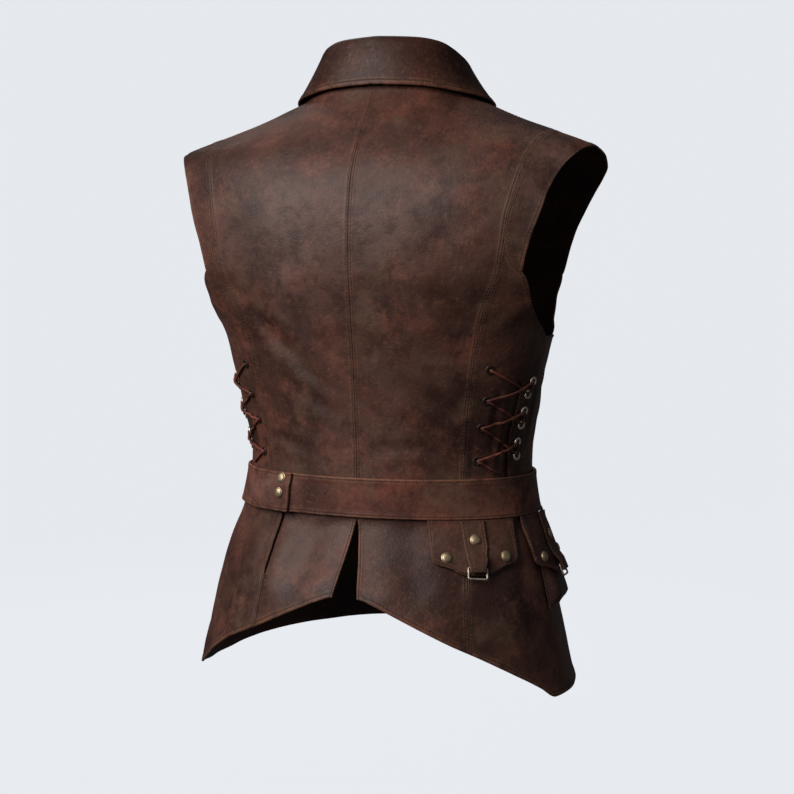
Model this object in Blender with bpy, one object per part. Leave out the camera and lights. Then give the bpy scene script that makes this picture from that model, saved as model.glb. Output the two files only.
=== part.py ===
"""Double-breasted leather vest, modelled in the hollow form it keeps when it is worn.

Metres, +Z up. The vest's front faces -Y and the wearer's left is +X. The origin lies midway
between the neck ends of the two shoulder seams, where the vest hangs on the shoulders.

Every leather piece is a wall cut from one surface, the form. A place on the form is a pair
(turn, z): turn is the number of degrees round from the centre back, positive towards the
wearer's left, so 180 is the centre front, and z is the height. A lift moves a place straight
out of the form.
"""

import math
from collections import namedtuple

import bmesh
import bpy
from mathutils import Matrix, Vector

# Leather and gaps
LEATHER = 0.0020
BELT_LEATHER = 0.0030
GUSSET_LEATHER = 0.0016
GAP = 0.0003
LAYER_GAP = 0.0006
RIDGE_TURN = 90.0
RIDGE_GAP_TURN = 0.12

# The form: half width, depths of the centre back and the centre front, the widest line's
# depth, and how square the section is (2 is an ellipse)
Level = namedtuple("Level", "z half_width back front middle square")
LEVELS = [
    Level(-0.600, 0.2015, 0.1500, -0.1430, 0.010, 2.15),
    Level(-0.550, 0.1905, 0.1400, -0.1370, 0.010, 2.10),
    Level(-0.500, 0.1790, 0.1280, -0.1290, 0.010, 2.10),
    Level(-0.460, 0.1705, 0.1060, -0.1210, 0.008, 2.10),
    Level(-0.425, 0.1600, 0.0925, -0.1140, 0.004, 2.05),
    Level(-0.370, 0.1520, 0.0925, -0.1090, -0.002, 2.05),
    Level(-0.310, 0.1610, 0.0970, -0.1170, 0.006, 2.10),
    Level(-0.250, 0.1725, 0.1035, -0.1250, 0.013, 2.20),
    Level(-0.230, 0.1810, 0.1070, -0.1260, 0.012, 2.25),
    Level(-0.207, 0.2000, 0.1100, -0.1250, 0.012, 2.30),
    Level(-0.178, 0.2265, 0.1140, -0.1220, 0.012, 2.30),
    Level(-0.150, 0.2330, 0.1150, -0.1170, 0.012, 2.35),
    Level(-0.115, 0.2380, 0.1135, -0.1070, 0.013, 2.35),
    Level(-0.080, 0.2360, 0.1055, -0.0940, 0.014, 2.30),
    Level(-0.066, 0.2305, 0.0980, -0.0880, 0.014, 2.25),
    Level(-0.055, 0.2205, 0.0910, -0.0830, 0.012, 2.20),
    Level(-0.049, 0.2070, 0.0870, -0.0800, 0.009, 2.15),
    Level(-0.036, 0.1710, 0.0760, -0.0740, 0.003, 2.10),
    Level(-0.026, 0.1436, 0.0680, -0.0690, 0.000, 2.05),
    Level(-0.015, 0.1180, 0.0580, -0.0630, -0.002, 2.00),
    Level(0.000, 0.0870, 0.0470, -0.0560, -0.004, 2.00),
    Level(0.014, 0.0780, 0.0400, -0.0500, -0.006, 2.00),
]

# Steps by which slopes of the form are measured, and steps of a fine curve
SMALL_TURN = 0.6
SMALL_HEIGHT = 0.002
METRES_PER_DEGREE = 0.0026
CURVE_STEPS = 12
WALK_STEPS = 6

# Centre back
VENT_TOP = -0.420
VENT_HALF_WIDTH = 0.013
VENT_HEM_TURN = 4.2
NECK_BACK = 0.014

# Seam from the shoulder to the hem on each side of the back
BackSeam = namedtuple("BackSeam", "z half_width")
BACK_SEAM = [
    BackSeam(-0.600, 0.1310),
    BackSeam(-0.540, 0.1230),
    BackSeam(-0.474, 0.1155),
    BackSeam(-0.420, 0.1070),
    BackSeam(-0.376, 0.1042),
    BackSeam(-0.336, 0.1070),
    BackSeam(-0.282, 0.1149),
    BackSeam(-0.249, 0.1210),
    BackSeam(-0.221, 0.1278),
    BackSeam(-0.200, 0.1360),
    BackSeam(-0.180, 0.1455),
    BackSeam(-0.152, 0.1510),
    BackSeam(-0.126, 0.1547),
    BackSeam(-0.096, 0.1617),
    BackSeam(-0.065, 0.1699),
    BackSeam(-0.038, 0.1800),
]
BACK_SEAM_HEM_Z = -0.545
SHOULDER_SEAM_OUTER_Z = -0.038
BAND_APEX_Z = -0.146
SIDE_SEAM_TURN = 110.0
UNDERARM_Z = -0.243

# Left skirt: the side panel laps over the back panel from the belt down
LAP_START = (-0.384, -0.398)
LAP_SPREAD = (-0.401, -0.4225)
LAP_TURN = 31.5
LAP_UNDER_TURN = 36.5
LAP_FADE = (43.5, 55.0)
LAP_LIFT = 0.0032
LAP_COVER = (24.0, 28.5)

# Hem all round, centre back to centre front and past it
Edge = namedtuple("Edge", "turn z")
HEM = [
    Edge(0.0, -0.4975),
    Edge(4.2, -0.4985),
    Edge(8.5, -0.5030),
    Edge(16.4, -0.5140),
    Edge(25.2, -0.5270),
    Edge(33.4, -0.5390),
    Edge(44.0, -0.5530),
    Edge(55.5, -0.5695),
    Edge(67.8, -0.5870),
    Edge(75.0, -0.5985),
    Edge(92.0, -0.5995),
    Edge(120.0, -0.5900),
    Edge(150.0, -0.5800),
    Edge(200.0, -0.5700),
]

# Armhole edge, from where the band starts at the back, round under the arm, to where it
# ends at the front, and the band's edge over the shoulder
ARMHOLE_UNDER_BACK = [
    Edge(45.9, -0.1785),
    Edge(50.5, -0.1950),
    Edge(57.0, -0.2070),
    Edge(66.0, -0.2200),
    Edge(79.0, -0.2355),
    Edge(95.0, -0.2465),
    Edge(SIDE_SEAM_TURN, UNDERARM_Z),
]
ARMHOLE_UNDER_FRONT = [
    Edge(SIDE_SEAM_TURN, UNDERARM_Z),
    Edge(122.0, -0.2230),
    Edge(131.0, -0.2030),
    Edge(135.0, -0.1830),
]
ARMHOLE_BACK = [
    Edge(45.5, -0.1765),
    Edge(44.9, -0.1620),
    Edge(46.1, -0.1390),
    Edge(48.3, -0.1170),
    Edge(51.2, -0.0970),
    Edge(58.0, -0.0740),
    Edge(72.0, -0.0585),
    Edge(90.0, -0.0545),
]
ARMHOLE_FRONT = [
    Edge(90.0, -0.0545),
    Edge(104.0, -0.0700),
    Edge(118.0, -0.0900),
    Edge(128.0, -0.1130),
    Edge(133.5, -0.1400),
    Edge(135.6, -0.1650),
    Edge(135.5, -0.1810),
]
BAND_BACK_LOWER = [
    Edge(44.7, -0.1770),
    Edge(41.6, -0.1700),
    Edge(39.2, -0.1580),
    Edge(37.8, -0.1480),
]
BAND_FRONT_INNER = [
    Edge(90.0, SHOULDER_SEAM_OUTER_Z),
    Edge(112.0, -0.0450),
    Edge(130.0, -0.0640),
    Edge(139.0, -0.0900),
    Edge(142.0, -0.1200),
    Edge(141.5, -0.1500),
    Edge(138.5, -0.1750),
    Edge(136.2, -0.1822),
]

# Neckline and front edge: round the neck, down the V, and past the centre front
NECKLINE_BACK = [
    Edge(0.0, NECK_BACK),
    Edge(30.0, 0.0130),
    Edge(60.0, 0.0085),
    Edge(90.0, 0.0),
]
NECKLINE_FRONT = [
    Edge(198.0, -0.2000),
    Edge(187.0, -0.1700),
    Edge(179.0, -0.1400),
    Edge(175.0, -0.1050),
    Edge(170.0, -0.0720),
    Edge(161.0, -0.0420),
    Edge(150.0, -0.0240),
    Edge(133.0, -0.0120),
    Edge(112.0, -0.0050),
    Edge(90.0, 0.0),
]
FRONT_LAP_TURN = 198.0
FRONT_LAP_HEM_TURN = 199.0
FRONT_LAP_FADE_TURN = 18.0
FRONT_LAP_REST_TURN = 1.5
FRONT_LAP_STEP = (0.5, 8.0)
FRONT_EDGE_SPREAD = (-0.30, -0.58)
FRONT_LAP_START = (-0.112, -0.136)
FRONT_LAP_LIFT = 0.0032

# Rows and columns of the walls
BELT_LINE_Z = -0.400
SKIRT_ROWS = 7
SKIRT_SPACING = 1.25
BODY_ROWS = 9
UNDERARM_ROWS = 7
BAND_LOWER_ROWS = 3
YOKE_ROWS = 12
CENTRE_YOKE_ROWS = 7
FRONT_UNDERARM_ROWS = 3
BAND_FRONT_ROWS = 9
BACK_COLUMNS = 7
SIDE_COLUMNS_BACK = 4
SIDE_COLUMNS_FRONT = 5
FRONT_COLUMNS = 12
BAND_COLUMNS = 2

# Lacing on each side: a slit in the side panel, a gusset behind it, and a lace across it
Slit = namedtuple("Slit", "z turn")
SLIT = [
    Slit(-0.395, 66.0),
    Slit(-0.368, 65.6),
    Slit(-0.343, 65.0),
    Slit(-0.318, 66.8),
    Slit(-0.286, 69.4),
]
SLIT_HALF_WIDTH = 0.0028
SLIT_TOP = -0.286
SLIT_SHARE_ABOVE = 0.36
SLIT_EASE = 0.010
SLIT_NARROWEST_SHARE = 0.25
GUSSET_TURNS = (56.0, 81.0)
GUSSET_HEIGHTS = (-0.398, -0.270)
GUSSET_GRID = (8, 3)
LACE_BACK_ROW = [
    Edge(50.3, -0.2733),
    Edge(50.6, -0.3042),
    Edge(49.3, -0.3313),
    Edge(48.9, -0.3647),
]
LACE_FRONT_ROW = [
    Edge(80.0, -0.2866),
    Edge(76.3, -0.2996),
    Edge(75.0, -0.3164),
    Edge(74.2, -0.3307),
    Edge(73.0, -0.3480),
    Edge(73.2, -0.3624),
]
LACE_END = Edge(60.0, -0.3785)
LACE_RADIUS = 0.0012
LACE_SIDES_SETTING = 1
LACE_POINT_STEP = 0.0070
LACE_LIFT = 0.0030
LACE_CROSSING_RISE = 0.0028
LACE_HUMP = 2.2
CROSSINGS = 3
EYELET_RADIUS = 0.0048
EYELET_HOLE = 0.0022
EYELET_HEIGHT = 0.0011
EYELET_TOP_SHARE = 0.85

# Belt
BELT_TOP = -0.3825
BELT_BOTTOM = -0.4225
BELT_START_TURN = 47.0
BELT_END_TURN = -185.2
BELT_COLUMNS = 50
BELT_ROWS = 2
END_PIECE_TURN = 27.2
END_PIECE_FADE = (47.5, 62.0)
END_PIECE_COLUMNS = 32
BELT_JOINT_TURN = 174.4
BELT_BUCKLE_HALF = (0.0210, 0.0270)
BELT_BUCKLE_BAR = 0.0040
BELT_BUCKLE_BEND = 0.20
BELT_BUCKLE_SEAT = 0.0006
BUCKLE_CORNER_BARS = 1.3
PRONG_RADIUS = 0.0016
PRONG_STATIONS = 6
PRONG_SIDES = 8
BELT_RIVETS = [Edge(31.9, -0.3880), Edge(31.9, -0.4035)]
BELT_RIVET_GAP = 0.0008
RIVET_RADIUS = 0.0055
RIVET_HEIGHT = 0.0022

# Pocket flaps on the right skirt, each with a strap, a small buckle and three rivets; across
# is a share of the flap's half width
Flap = namedtuple("Flap", "name turn half_width reach")
FLAPS = [
    Flap("back", -44.2, 0.0435, 1.00),
    Flap("side", -92.5, 0.0390, 1.16),
]
FLAP_TOP = -0.4235
FlapEdge = namedtuple("FlapEdge", "across drop")
FLAP_EDGE = [
    FlapEdge(-1.00, 0.0370),
    FlapEdge(-0.93, 0.0410),
    FlapEdge(-0.60, 0.0455),
    FlapEdge(-0.24, 0.0520),
    FlapEdge(0.24, 0.0520),
    FlapEdge(0.60, 0.0455),
    FlapEdge(0.93, 0.0410),
    FlapEdge(1.00, 0.0370),
]
FLAP_ROWS = 4
FLAP_COLUMNS = 10
FLAP_CLEARANCE = 0.0010
FLAP_EDGE_RISE = 0.0012
FlapRivet = namedtuple("FlapRivet", "name across drop")
FLAP_RIVETS = [
    FlapRivet("rear", 0.674, 0.0352),
    FlapRivet("middle", 0.0, 0.0195),
    FlapRivet("fore", -0.674, 0.0352),
]
StrapWidth = namedtuple("StrapWidth", "drop half_width")
STRAP_WIDTHS = [
    StrapWidth(0.0000, 0.0114),
    StrapWidth(0.0130, 0.0114),
    StrapWidth(0.0260, 0.0114),
    StrapWidth(0.0330, 0.0098),
    StrapWidth(0.0390, 0.0100),
    StrapWidth(0.0430, 0.0080),
    StrapWidth(0.0500, 0.0078),
]
STRAP_SHARES = (-1.0, -0.4, 0.4, 1.0)
STRAP_LEATHER = 0.0018
STRAP_BUCKLE_RISE = 0.0031
STRAP_RISE_ABOVE_BAR = (0.012, 0.002)
STRAP_BUCKLE_DROP = 0.0505
STRAP_BUCKLE_HALF = (0.0103, 0.0068)
STRAP_BUCKLE_BAR = 0.0020
STRAP_BUCKLE_BEND = 0.30
STRAP_TOP_DROP = 0.0006

# Pouch under the side flap
POUCH_TURNS = (-81.0, -105.0)
POUCH_HEIGHTS = (-0.5170, -0.4400)
POUCH_DEPTH = 0.0105
POUCH_MOUTH = 0.12
POUCH_SIDE_SLOPE = 0.24
POUCH_FOOT_SLOPE = 0.14
POUCH_MOUTH_FADE = (0.15, 0.90)
POUCH_TOP_FADE = (1.0, 1.2)
POUCH_FLAP_SPREAD = 0.35
POUCH_GRID = (9, 9)
POUCH_LEATHER = 0.0016

# Collar stations from the centre back to the front end: neckline turn and height, how far
# the fold rises above it and leans in, and where the fall's edge lies
Collar = namedtuple("Collar", "turn z rise lean edge_turn edge_z edge_lift")
COLLAR = [
    Collar(0.0, 0.0140, 0.0425, 0.0085, 0.0, 0.0060, 0.0060),
    Collar(32.0, 0.0129, 0.0420, 0.0105, 34.0, 0.0035, 0.0058),
    Collar(62.0, 0.0082, 0.0430, 0.0160, 65.0, -0.0040, 0.0050),
    Collar(90.0, 0.0000, 0.0415, 0.0175, 88.0, -0.0075, 0.0042),
    Collar(112.0, -0.0050, 0.0355, 0.0135, 108.0, -0.0120, 0.0040),
    Collar(133.0, -0.0120, 0.0225, 0.0140, 131.0, -0.0200, 0.0040),
    Collar(150.0, -0.0240, 0.0175, 0.0095, 146.0, -0.0400, 0.0040),
    Collar(158.0, -0.0370, 0.0150, 0.0060, 154.0, -0.0620, 0.0040),
]
CollarAt = namedtuple("CollarAt", "share turn z rise lean edge_turn edge_z edge_lift")
NECK_AXIS_Y = -0.005
COLLAR_STATIONS = 14
STAND_CLEARANCE = (0.0006, 0.0026)
STAND_ROWS = 4
STAND_TOP_DROP = 0.0048
FALL_DROPS = (0.0042, 0.0012)
FOLD = [(0.0028, 0.0006), (0.0055, -0.0012)]
FALL_ROWS = 5
FALL_BULGE = 0.0025
FALL_HOLLOW = -0.0010
FALL_HOLLOW_SHARES = (0.05, 0.40, 0.60, 0.80)

# Lapels along the V, from the collar's end to the crossing of the fronts
LAPEL_FOLD = [
    Edge(164.5, -0.0500),
    Edge(170.3, -0.0750),
    Edge(174.6, -0.1050),
    Edge(178.0, -0.1400),
]
LAPEL_OUTER = [
    Edge(150.0, -0.0780),
    Edge(156.0, -0.1010),
    Edge(166.0, -0.1250),
    Edge(176.8, -0.1425),
]
LAPEL_ROWS = 8
LAPEL_COLUMNS = 4
LAPEL_GAP_LEFT = 0.0012
LAPEL_GAP_RIGHT = 0.0006

# Round metal pieces; a cap's profile is given in shares of its radius and height
ROUND_SEGMENTS = 12
EYELET_SEGMENTS = 10
CapPoint = namedtuple("CapPoint", "radius height")
CAP = [
    CapPoint(0.00, 0.00),
    CapPoint(0.94, 0.00),
    CapPoint(1.00, 0.30),
    CapPoint(0.80, 0.72),
    CapPoint(0.42, 0.95),
    CapPoint(0.00, 1.00),
]

# Buttons in two columns of three
BUTTON_HEIGHTS = (-0.222, -0.283, -0.344)
BUTTON_SPREADS = (0.0450, 0.0430, 0.0410)
BUTTON_RADIUS = 0.0100
BUTTON_HEIGHT = 0.0042

# Finishes
SHARP_ANGLE = 35.0
Finish = namedtuple("Finish", "name colour roughness metallic")
VEST_LEATHER = Finish("vest_leather", (0.060, 0.030, 0.023), 0.5, 0.0)
BELT_FINISH = Finish("belt_leather", (0.085, 0.038, 0.028), 0.5, 0.0)
LACE_FINISH = Finish("lace_leather", (0.150, 0.075, 0.050), 0.6, 0.0)
BRASS = Finish("aged_brass", (0.42, 0.33, 0.21), 0.4, 1.0)
PALE_METAL = Finish("pale_metal", (0.60, 0.55, 0.48), 0.35, 1.0)


def smooth(rows, column, at):
    """Read one column of a table at any place between its rows, without overshoot."""
    keys = [row[0] for row in rows]
    values = [getattr(row, column) for row in rows]
    if at <= keys[0]:
        return values[0]
    if at >= keys[-1]:
        return values[-1]
    k = max(i for i in range(len(keys) - 1) if keys[i] <= at)
    slopes = [(values[i + 1] - values[i]) / (keys[i + 1] - keys[i]) for i in range(len(keys) - 1)]

    def tangent(i):
        if i == 0 or i == len(keys) - 1:
            return slopes[min(i, len(slopes) - 1)]
        before, after = slopes[i - 1], slopes[i]
        if before * after <= 0.0:
            return 0.0
        return 2.0 * before * after / (before + after)

    span = keys[k + 1] - keys[k]
    t = (at - keys[k]) / span
    start, end = tangent(k) * span, tangent(k + 1) * span
    return (
        (2 * t**3 - 3 * t**2 + 1) * values[k]
        + (t**3 - 2 * t**2 + t) * start
        + (3 * t**2 - 2 * t**3) * values[k + 1]
        + (t**3 - t**2) * end
    )


def blend(a, b, t):
    return a + (b - a) * t


def ramp(at, start, end):
    """0 before start, 1 after end, and a soft step between."""
    t = min(max((at - start) / (end - start), 0.0), 1.0)
    return t * t * (3.0 - 2.0 * t)


def section(z):
    return Level(z, *(smooth(LEVELS, name, z) for name in Level._fields[1:]))


def on_form(turn, z):
    """The point of the form at a place."""
    ring = section(z)
    sine, cosine = math.sin(math.radians(turn)), math.cos(math.radians(turn))
    depth = ring.back - ring.middle if cosine > 0.0 else ring.middle - ring.front
    power = 2.0 / ring.square
    x = ring.half_width * math.copysign(abs(sine) ** power, sine)
    y = ring.middle + depth * math.copysign(abs(cosine) ** power, cosine)
    return Vector((x, y, z))


def steps(turn, z):
    """How the form's point moves for each degree of turn and each metre of height."""
    across = on_form(turn + SMALL_TURN, z) - on_form(turn - SMALL_TURN, z)
    up = on_form(turn, z + SMALL_HEIGHT) - on_form(turn, z - SMALL_HEIGHT)
    return across / (2 * SMALL_TURN), up / (2 * SMALL_HEIGHT)


def outward(turn, z):
    along_turn, along_z = steps(turn, z)
    return along_z.cross(along_turn).normalized()


def skin(turn, z, lift=0.0):
    """The point at a place, moved out of the form by the lift."""
    return on_form(turn, z) + outward(turn, z) * lift


def turn_at(half_width, z):
    """The turn at which the back of the form is this far from the middle."""
    ring = section(z)
    share = min(half_width / ring.half_width, 1.0)
    return math.degrees(math.asin(share ** (ring.square / 2.0)))


def walk(turn, z, across):
    """The turn reached from another by going so many metres round the form."""
    for _ in range(WALK_STEPS):
        turn += across / WALK_STEPS / steps(turn, z)[0].length
    return turn


def curve(places, count):
    """Even places along a smooth curve through a few places."""
    ends = [places[0], *places, places[-1]]
    fine = []
    for a, b, c, d in zip(ends, ends[1:], ends[2:], ends[3:]):
        for k in range(CURVE_STEPS):
            t = k / CURVE_STEPS
            weights = (
                -0.5 * t**3 + t**2 - 0.5 * t,
                1.5 * t**3 - 2.5 * t**2 + 1.0,
                -1.5 * t**3 + 2.0 * t**2 + 0.5 * t,
                0.5 * t**3 - 0.5 * t**2,
            )
            fine.append(tuple(sum(w * p[i] for w, p in zip(weights, (a, b, c, d))) for i in (0, 1)))
    fine.append(tuple(places[-1][:2]))
    reach = [0.0]
    for p, q in zip(fine, fine[1:]):
        reach.append(reach[-1] + math.hypot((q[0] - p[0]) * METRES_PER_DEGREE, q[1] - p[1]))
    result = []
    k = 0
    for i in range(count):
        target = reach[-1] * i / (count - 1)
        while k < len(fine) - 2 and reach[k + 1] < target:
            k += 1
        t = (target - reach[k]) / (reach[k + 1] - reach[k])
        result.append((blend(fine[k][0], fine[k + 1][0], t), blend(fine[k][1], fine[k + 1][1], t)))
    return result


def mirrored(places, side):
    return [(turn * side, z) for turn, z in places]


def hem_z(turn):
    return smooth(HEM, "z", abs(turn))


def inset(edge, facing, gap=GAP / 2):
    """An edge moved off its seam by half a gap, towards the edge that faces it."""
    result = []
    for i, (place, other) in enumerate(zip(edge, facing)):
        before, after = edge[max(i - 1, 0)], edge[min(i + 1, len(edge) - 1)]
        along_turn, along_z = (step.length for step in steps(*place))
        run = Vector(((after[0] - before[0]) * along_turn, (after[1] - before[1]) * along_z))
        square = Vector((-run.y, run.x)).normalized()
        towards = Vector(((other[0] - place[0]) * along_turn, (other[1] - place[1]) * along_z))
        move = square * math.copysign(gap, square.dot(towards))
        result.append((place[0] + move.x / along_turn, place[1] + move.y / along_z))
    return result


def skirt_height(low, row):
    """The height of a skirt row over a hem height; the rows lie closer below the belt."""
    down = 1.0 - row / (SKIRT_ROWS - 1)
    return blend(BELT_BOTTOM, low, down**SKIRT_SPACING)


def skirt_heights(low):
    return [skirt_height(low, row) for row in range(SKIRT_ROWS)]


def to_hem(rows):
    """Rows of places with those below the belt line spread down to the hem's own height."""
    for i, row in enumerate(rows[:SKIRT_ROWS]):
        rows[i] = [(turn, skirt_height(hem_z(turn), i)) for turn, _ in row]
    return rows


def ruled(left, right, shares):
    """Rows of places between two edges with as many places each, at shares of the way."""
    return [
        [(blend(a[0], b[0], s), blend(a[1], b[1], s)) for s in shares]
        for a, b in zip(left, right)
    ]


def even(columns):
    return [k / columns for k in range(columns + 1)]


def heights(*stops):
    """Even heights through stops, each given as (height, rows up to the next stop)."""
    result = []
    for (low, rows), (high, _) in zip(stops, stops[1:]):
        result += [blend(low, high, k / rows) for k in range(rows)]
    return result + [stops[-1][0]]


def make_material(finish):
    material = bpy.data.materials.new(finish.name)
    material.use_nodes = True
    shader = material.node_tree.nodes["Principled BSDF"]
    shader.inputs["Base Color"].default_value = (*finish.colour, 1.0)
    shader.inputs["Roughness"].default_value = finish.roughness
    shader.inputs["Metallic"].default_value = finish.metallic
    material.diffuse_color = (*finish.colour, 1.0)
    return material


def finish_mesh(name, bm, material):
    """Turn the faces out, shade the round parts smooth and make the object."""
    bmesh.ops.recalc_face_normals(bm, faces=bm.faces)
    mesh = bpy.data.meshes.new(name)
    bm.to_mesh(mesh)
    bm.free()
    mesh.shade_smooth()
    mesh.set_sharp_from_angle(angle=math.radians(SHARP_ANGLE))
    mesh.materials.append(material)
    item = bpy.data.objects.new(name, mesh)
    bpy.context.scene.collection.objects.link(item)
    return item


def closed_wall(name, inner, outer, material, is_open=None):
    """A wall between two grids of points; is_open(row, column) leaves a cell out of it."""
    bm = bmesh.new()
    rows, columns = len(outer), len(outer[0])
    low = [[bm.verts.new(p) for p in row] for row in inner]
    high = [[bm.verts.new(p) for p in row] for row in outer]
    cells = {(i, j) for i in range(rows - 1) for j in range(columns - 1)}
    kept = {cell for cell in cells if is_open is None or not is_open(*cell)}
    for i, j in sorted(kept):
        corners = [(i, j), (i, j + 1), (i + 1, j + 1), (i + 1, j)]
        bm.faces.new([high[r][c] for r, c in corners])
        bm.faces.new([low[r][c] for r, c in reversed(corners)])
        beyond = [(i - 1, j), (i, j + 1), (i + 1, j), (i, j - 1)]
        for k, cell in enumerate(beyond):
            if cell not in kept:
                (r0, c0), (r1, c1) = corners[k], corners[(k + 1) % 4]
                bm.faces.new([high[r1][c1], high[r0][c0], low[r0][c0], low[r1][c1]])
    return finish_mesh(name, bm, material)


def panel(name, rows, material, lift=0.0, thickness=LEATHER, is_open=None):
    """A leather wall over rows of places; its outer face lies at the lift, a size or a rule."""
    rise = lift if callable(lift) else lambda turn, z: lift
    outer = [[skin(t, z, rise(t, z)) for t, z in row] for row in rows]
    inner = [[skin(t, z, rise(t, z) - thickness) for t, z in row] for row in rows]
    return closed_wall(name, inner, outer, material, is_open)


def mid_wall(name, grid, thickness, material):
    """A wall whose middle follows a grid of points."""
    rows, columns = len(grid), len(grid[0])
    inner, outer = [], []
    for i in range(rows):
        inner.append([])
        outer.append([])
        for j in range(columns):
            down = grid[min(i + 1, rows - 1)][j] - grid[max(i - 1, 0)][j]
            along = grid[i][min(j + 1, columns - 1)] - grid[i][max(j - 1, 0)]
            normal = along.cross(down).normalized() * thickness / 2
            inner[i].append(grid[i][j] - normal)
            outer[i].append(grid[i][j] + normal)
    return closed_wall(name, inner, outer, material)


def spot(turn, z, lift=0.0, extra=0.0):
    """Axes of a spot on a lifted surface, across, down and out, moved out by the extra."""
    rise = lift if callable(lift) else lambda turn, z: lift

    def point(t, height):
        return skin(t, height, rise(t, height))

    along = point(turn + SMALL_TURN, z) - point(turn - SMALL_TURN, z)
    up = point(turn, z + SMALL_HEIGHT) - point(turn, z - SMALL_HEIGHT)
    normal = up.cross(along).normalized()
    up = normal.cross(along).normalized()
    across = up.cross(normal)
    matrix = Matrix((across, up, normal)).transposed().to_4x4()
    return Matrix.Translation(point(turn, z) + normal * extra) @ matrix


def revolved(name, place, profile, segments, material, ring=False):
    """A turned piece; profile rows are (radius, height). A ring's profile is a closed loop."""
    bm = bmesh.new()
    rounds = []
    for radius, height in profile:
        count = segments if radius > 0.0 else 1
        angles = [2 * math.pi * k / count for k in range(count)]
        points = [Vector((radius * math.cos(a), radius * math.sin(a), height)) for a in angles]
        rounds.append([bm.verts.new(place @ point) for point in points])
    pairs = list(zip(rounds, rounds[1:]))
    if ring:
        pairs.append((rounds[-1], rounds[0]))
    for low, high in pairs:
        for k in range(segments):
            n = (k + 1) % segments
            corners = [low[k % len(low)], low[n % len(low)], high[n % len(high)], high[k % len(high)]]
            bm.faces.new(list(dict.fromkeys(corners)))
    return finish_mesh(name, bm, material)


def buckle_frame(name, place, half_size, bar, bend, material):
    """A rectangular frame of square bar with round corners, bent back by a radius."""
    half_across, half_up = half_size
    corner = bar * BUCKLE_CORNER_BARS
    profile = ((corner, 0.0), (corner, bar), (corner - bar, bar), (corner - bar, 0.0))
    bm = bmesh.new()
    rings = []
    for sign_x, sign_y, start in ((1, 1, 0), (-1, 1, 90), (-1, -1, 180), (1, -1, 270)):
        for k in range(3):
            angle = math.radians(start + 45 * k)
            ring = []
            for reach, height in profile:
                x = sign_x * (half_across - corner) + reach * math.cos(angle)
                y = sign_y * (half_up - corner) + reach * math.sin(angle)
                drop = x * x / (2.0 * bend)
                ring.append(bm.verts.new(place @ Vector((x, y, height - drop))))
            rings.append(ring)
    for a, b in zip(rings, rings[1:] + rings[:1]):
        for k in range(4):
            n = (k + 1) % 4
            bm.faces.new([a[k], a[n], b[n], b[k]])
    return finish_mesh(name, bm, material)


def dome(radius, height):
    """Profile of a round cap with a short rim, from the middle of its base to its top."""
    return [(radius * point.radius, height * point.height) for point in CAP]


def front_lap(turn, z):
    """How far the left front stands out where it crosses over the right front."""
    under_edge = 360.0 - front_edge_turn(z)
    reach = ramp(turn, under_edge - FRONT_LAP_FADE_TURN, under_edge - FRONT_LAP_REST_TURN)
    return FRONT_LAP_LIFT * reach * ramp(z, *FRONT_LAP_START)


def front_edge_turn(z):
    """Where a front's edge lies past the centre front, below the V."""
    return blend(FRONT_LAP_TURN, FRONT_LAP_HEM_TURN, ramp(z, *FRONT_EDGE_SPREAD))


def lap_rise(z):
    """How far the lap's edge stands out at a height."""
    return LAP_LIFT * ramp(z, *LAP_START)


def skirt_lap(turn, z):
    """How far the left side panel stands out where it laps over the back panel."""
    return lap_rise(z) * (1.0 - ramp(turn, *LAP_FADE))


def body_surface(turn, z):
    """Lift of the outermost panel's face at a place."""
    around = turn % 360.0
    over_edge = front_edge_turn(z)
    if around < LAP_TURN:
        return lap_rise(z) * ramp(around, *LAP_COVER)
    if around < 180.0:
        return max(front_lap(around, z), skirt_lap(around, z))
    step = (over_edge + turns for turns in FRONT_LAP_STEP)
    return FRONT_LAP_LIFT * (1.0 - ramp(around, *step))


def on_body(extra):
    """A rule that lifts a piece clear of the panels by this much more."""
    return lambda turn, z: body_surface(turn, z) + extra


def lap_back(edge, turn):
    """A back seam's edge, moved to another turn below the start of the skirt's lap."""
    return [(blend(t, turn, ramp(z, *LAP_SPREAD)), z) for t, z in edge]


def back_seam_edge():
    """The seam between back and side panels, from the hem up to the shoulder."""
    low = hem_z(turn_at(smooth(BACK_SEAM, "half_width", BACK_SEAM_HEM_Z), BACK_SEAM_HEM_Z))
    stops = (
        (BELT_LINE_Z, BODY_ROWS),
        (UNDERARM_Z, UNDERARM_ROWS),
        (BAND_APEX_Z, YOKE_ROWS),
        (SHOULDER_SEAM_OUTER_Z, 0),
    )
    levels = skirt_heights(low) + heights(*stops)
    return [(turn_at(smooth(BACK_SEAM, "half_width", z), z), z) for z in levels]


def centre_edge():
    """The centre back with its vent, then the neckline round to the shoulder."""
    hem = hem_z(VENT_HEM_TURN)
    stops = (
        (BELT_LINE_Z, BODY_ROWS),
        (UNDERARM_Z, UNDERARM_ROWS),
        (BAND_APEX_Z, CENTRE_YOKE_ROWS),
        (NECK_BACK, 0),
    )
    edge = []
    for z in skirt_heights(hem) + heights(*stops):
        half_opening = VENT_HALF_WIDTH * max(VENT_TOP - z, 0.0) / (VENT_TOP - hem)
        edge.append((turn_at(half_opening, z), z))
    return edge + curve(NECKLINE_BACK, YOKE_ROWS - CENTRE_YOKE_ROWS + 1)[1:]


def side_seam_edge():
    """The side seam from the hem to the armhole."""
    stops = ((BELT_LINE_Z, BODY_ROWS), (UNDERARM_Z, 0))
    return [(SIDE_SEAM_TURN, z) for z in skirt_heights(hem_z(SIDE_SEAM_TURN)) + heights(*stops)]


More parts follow.
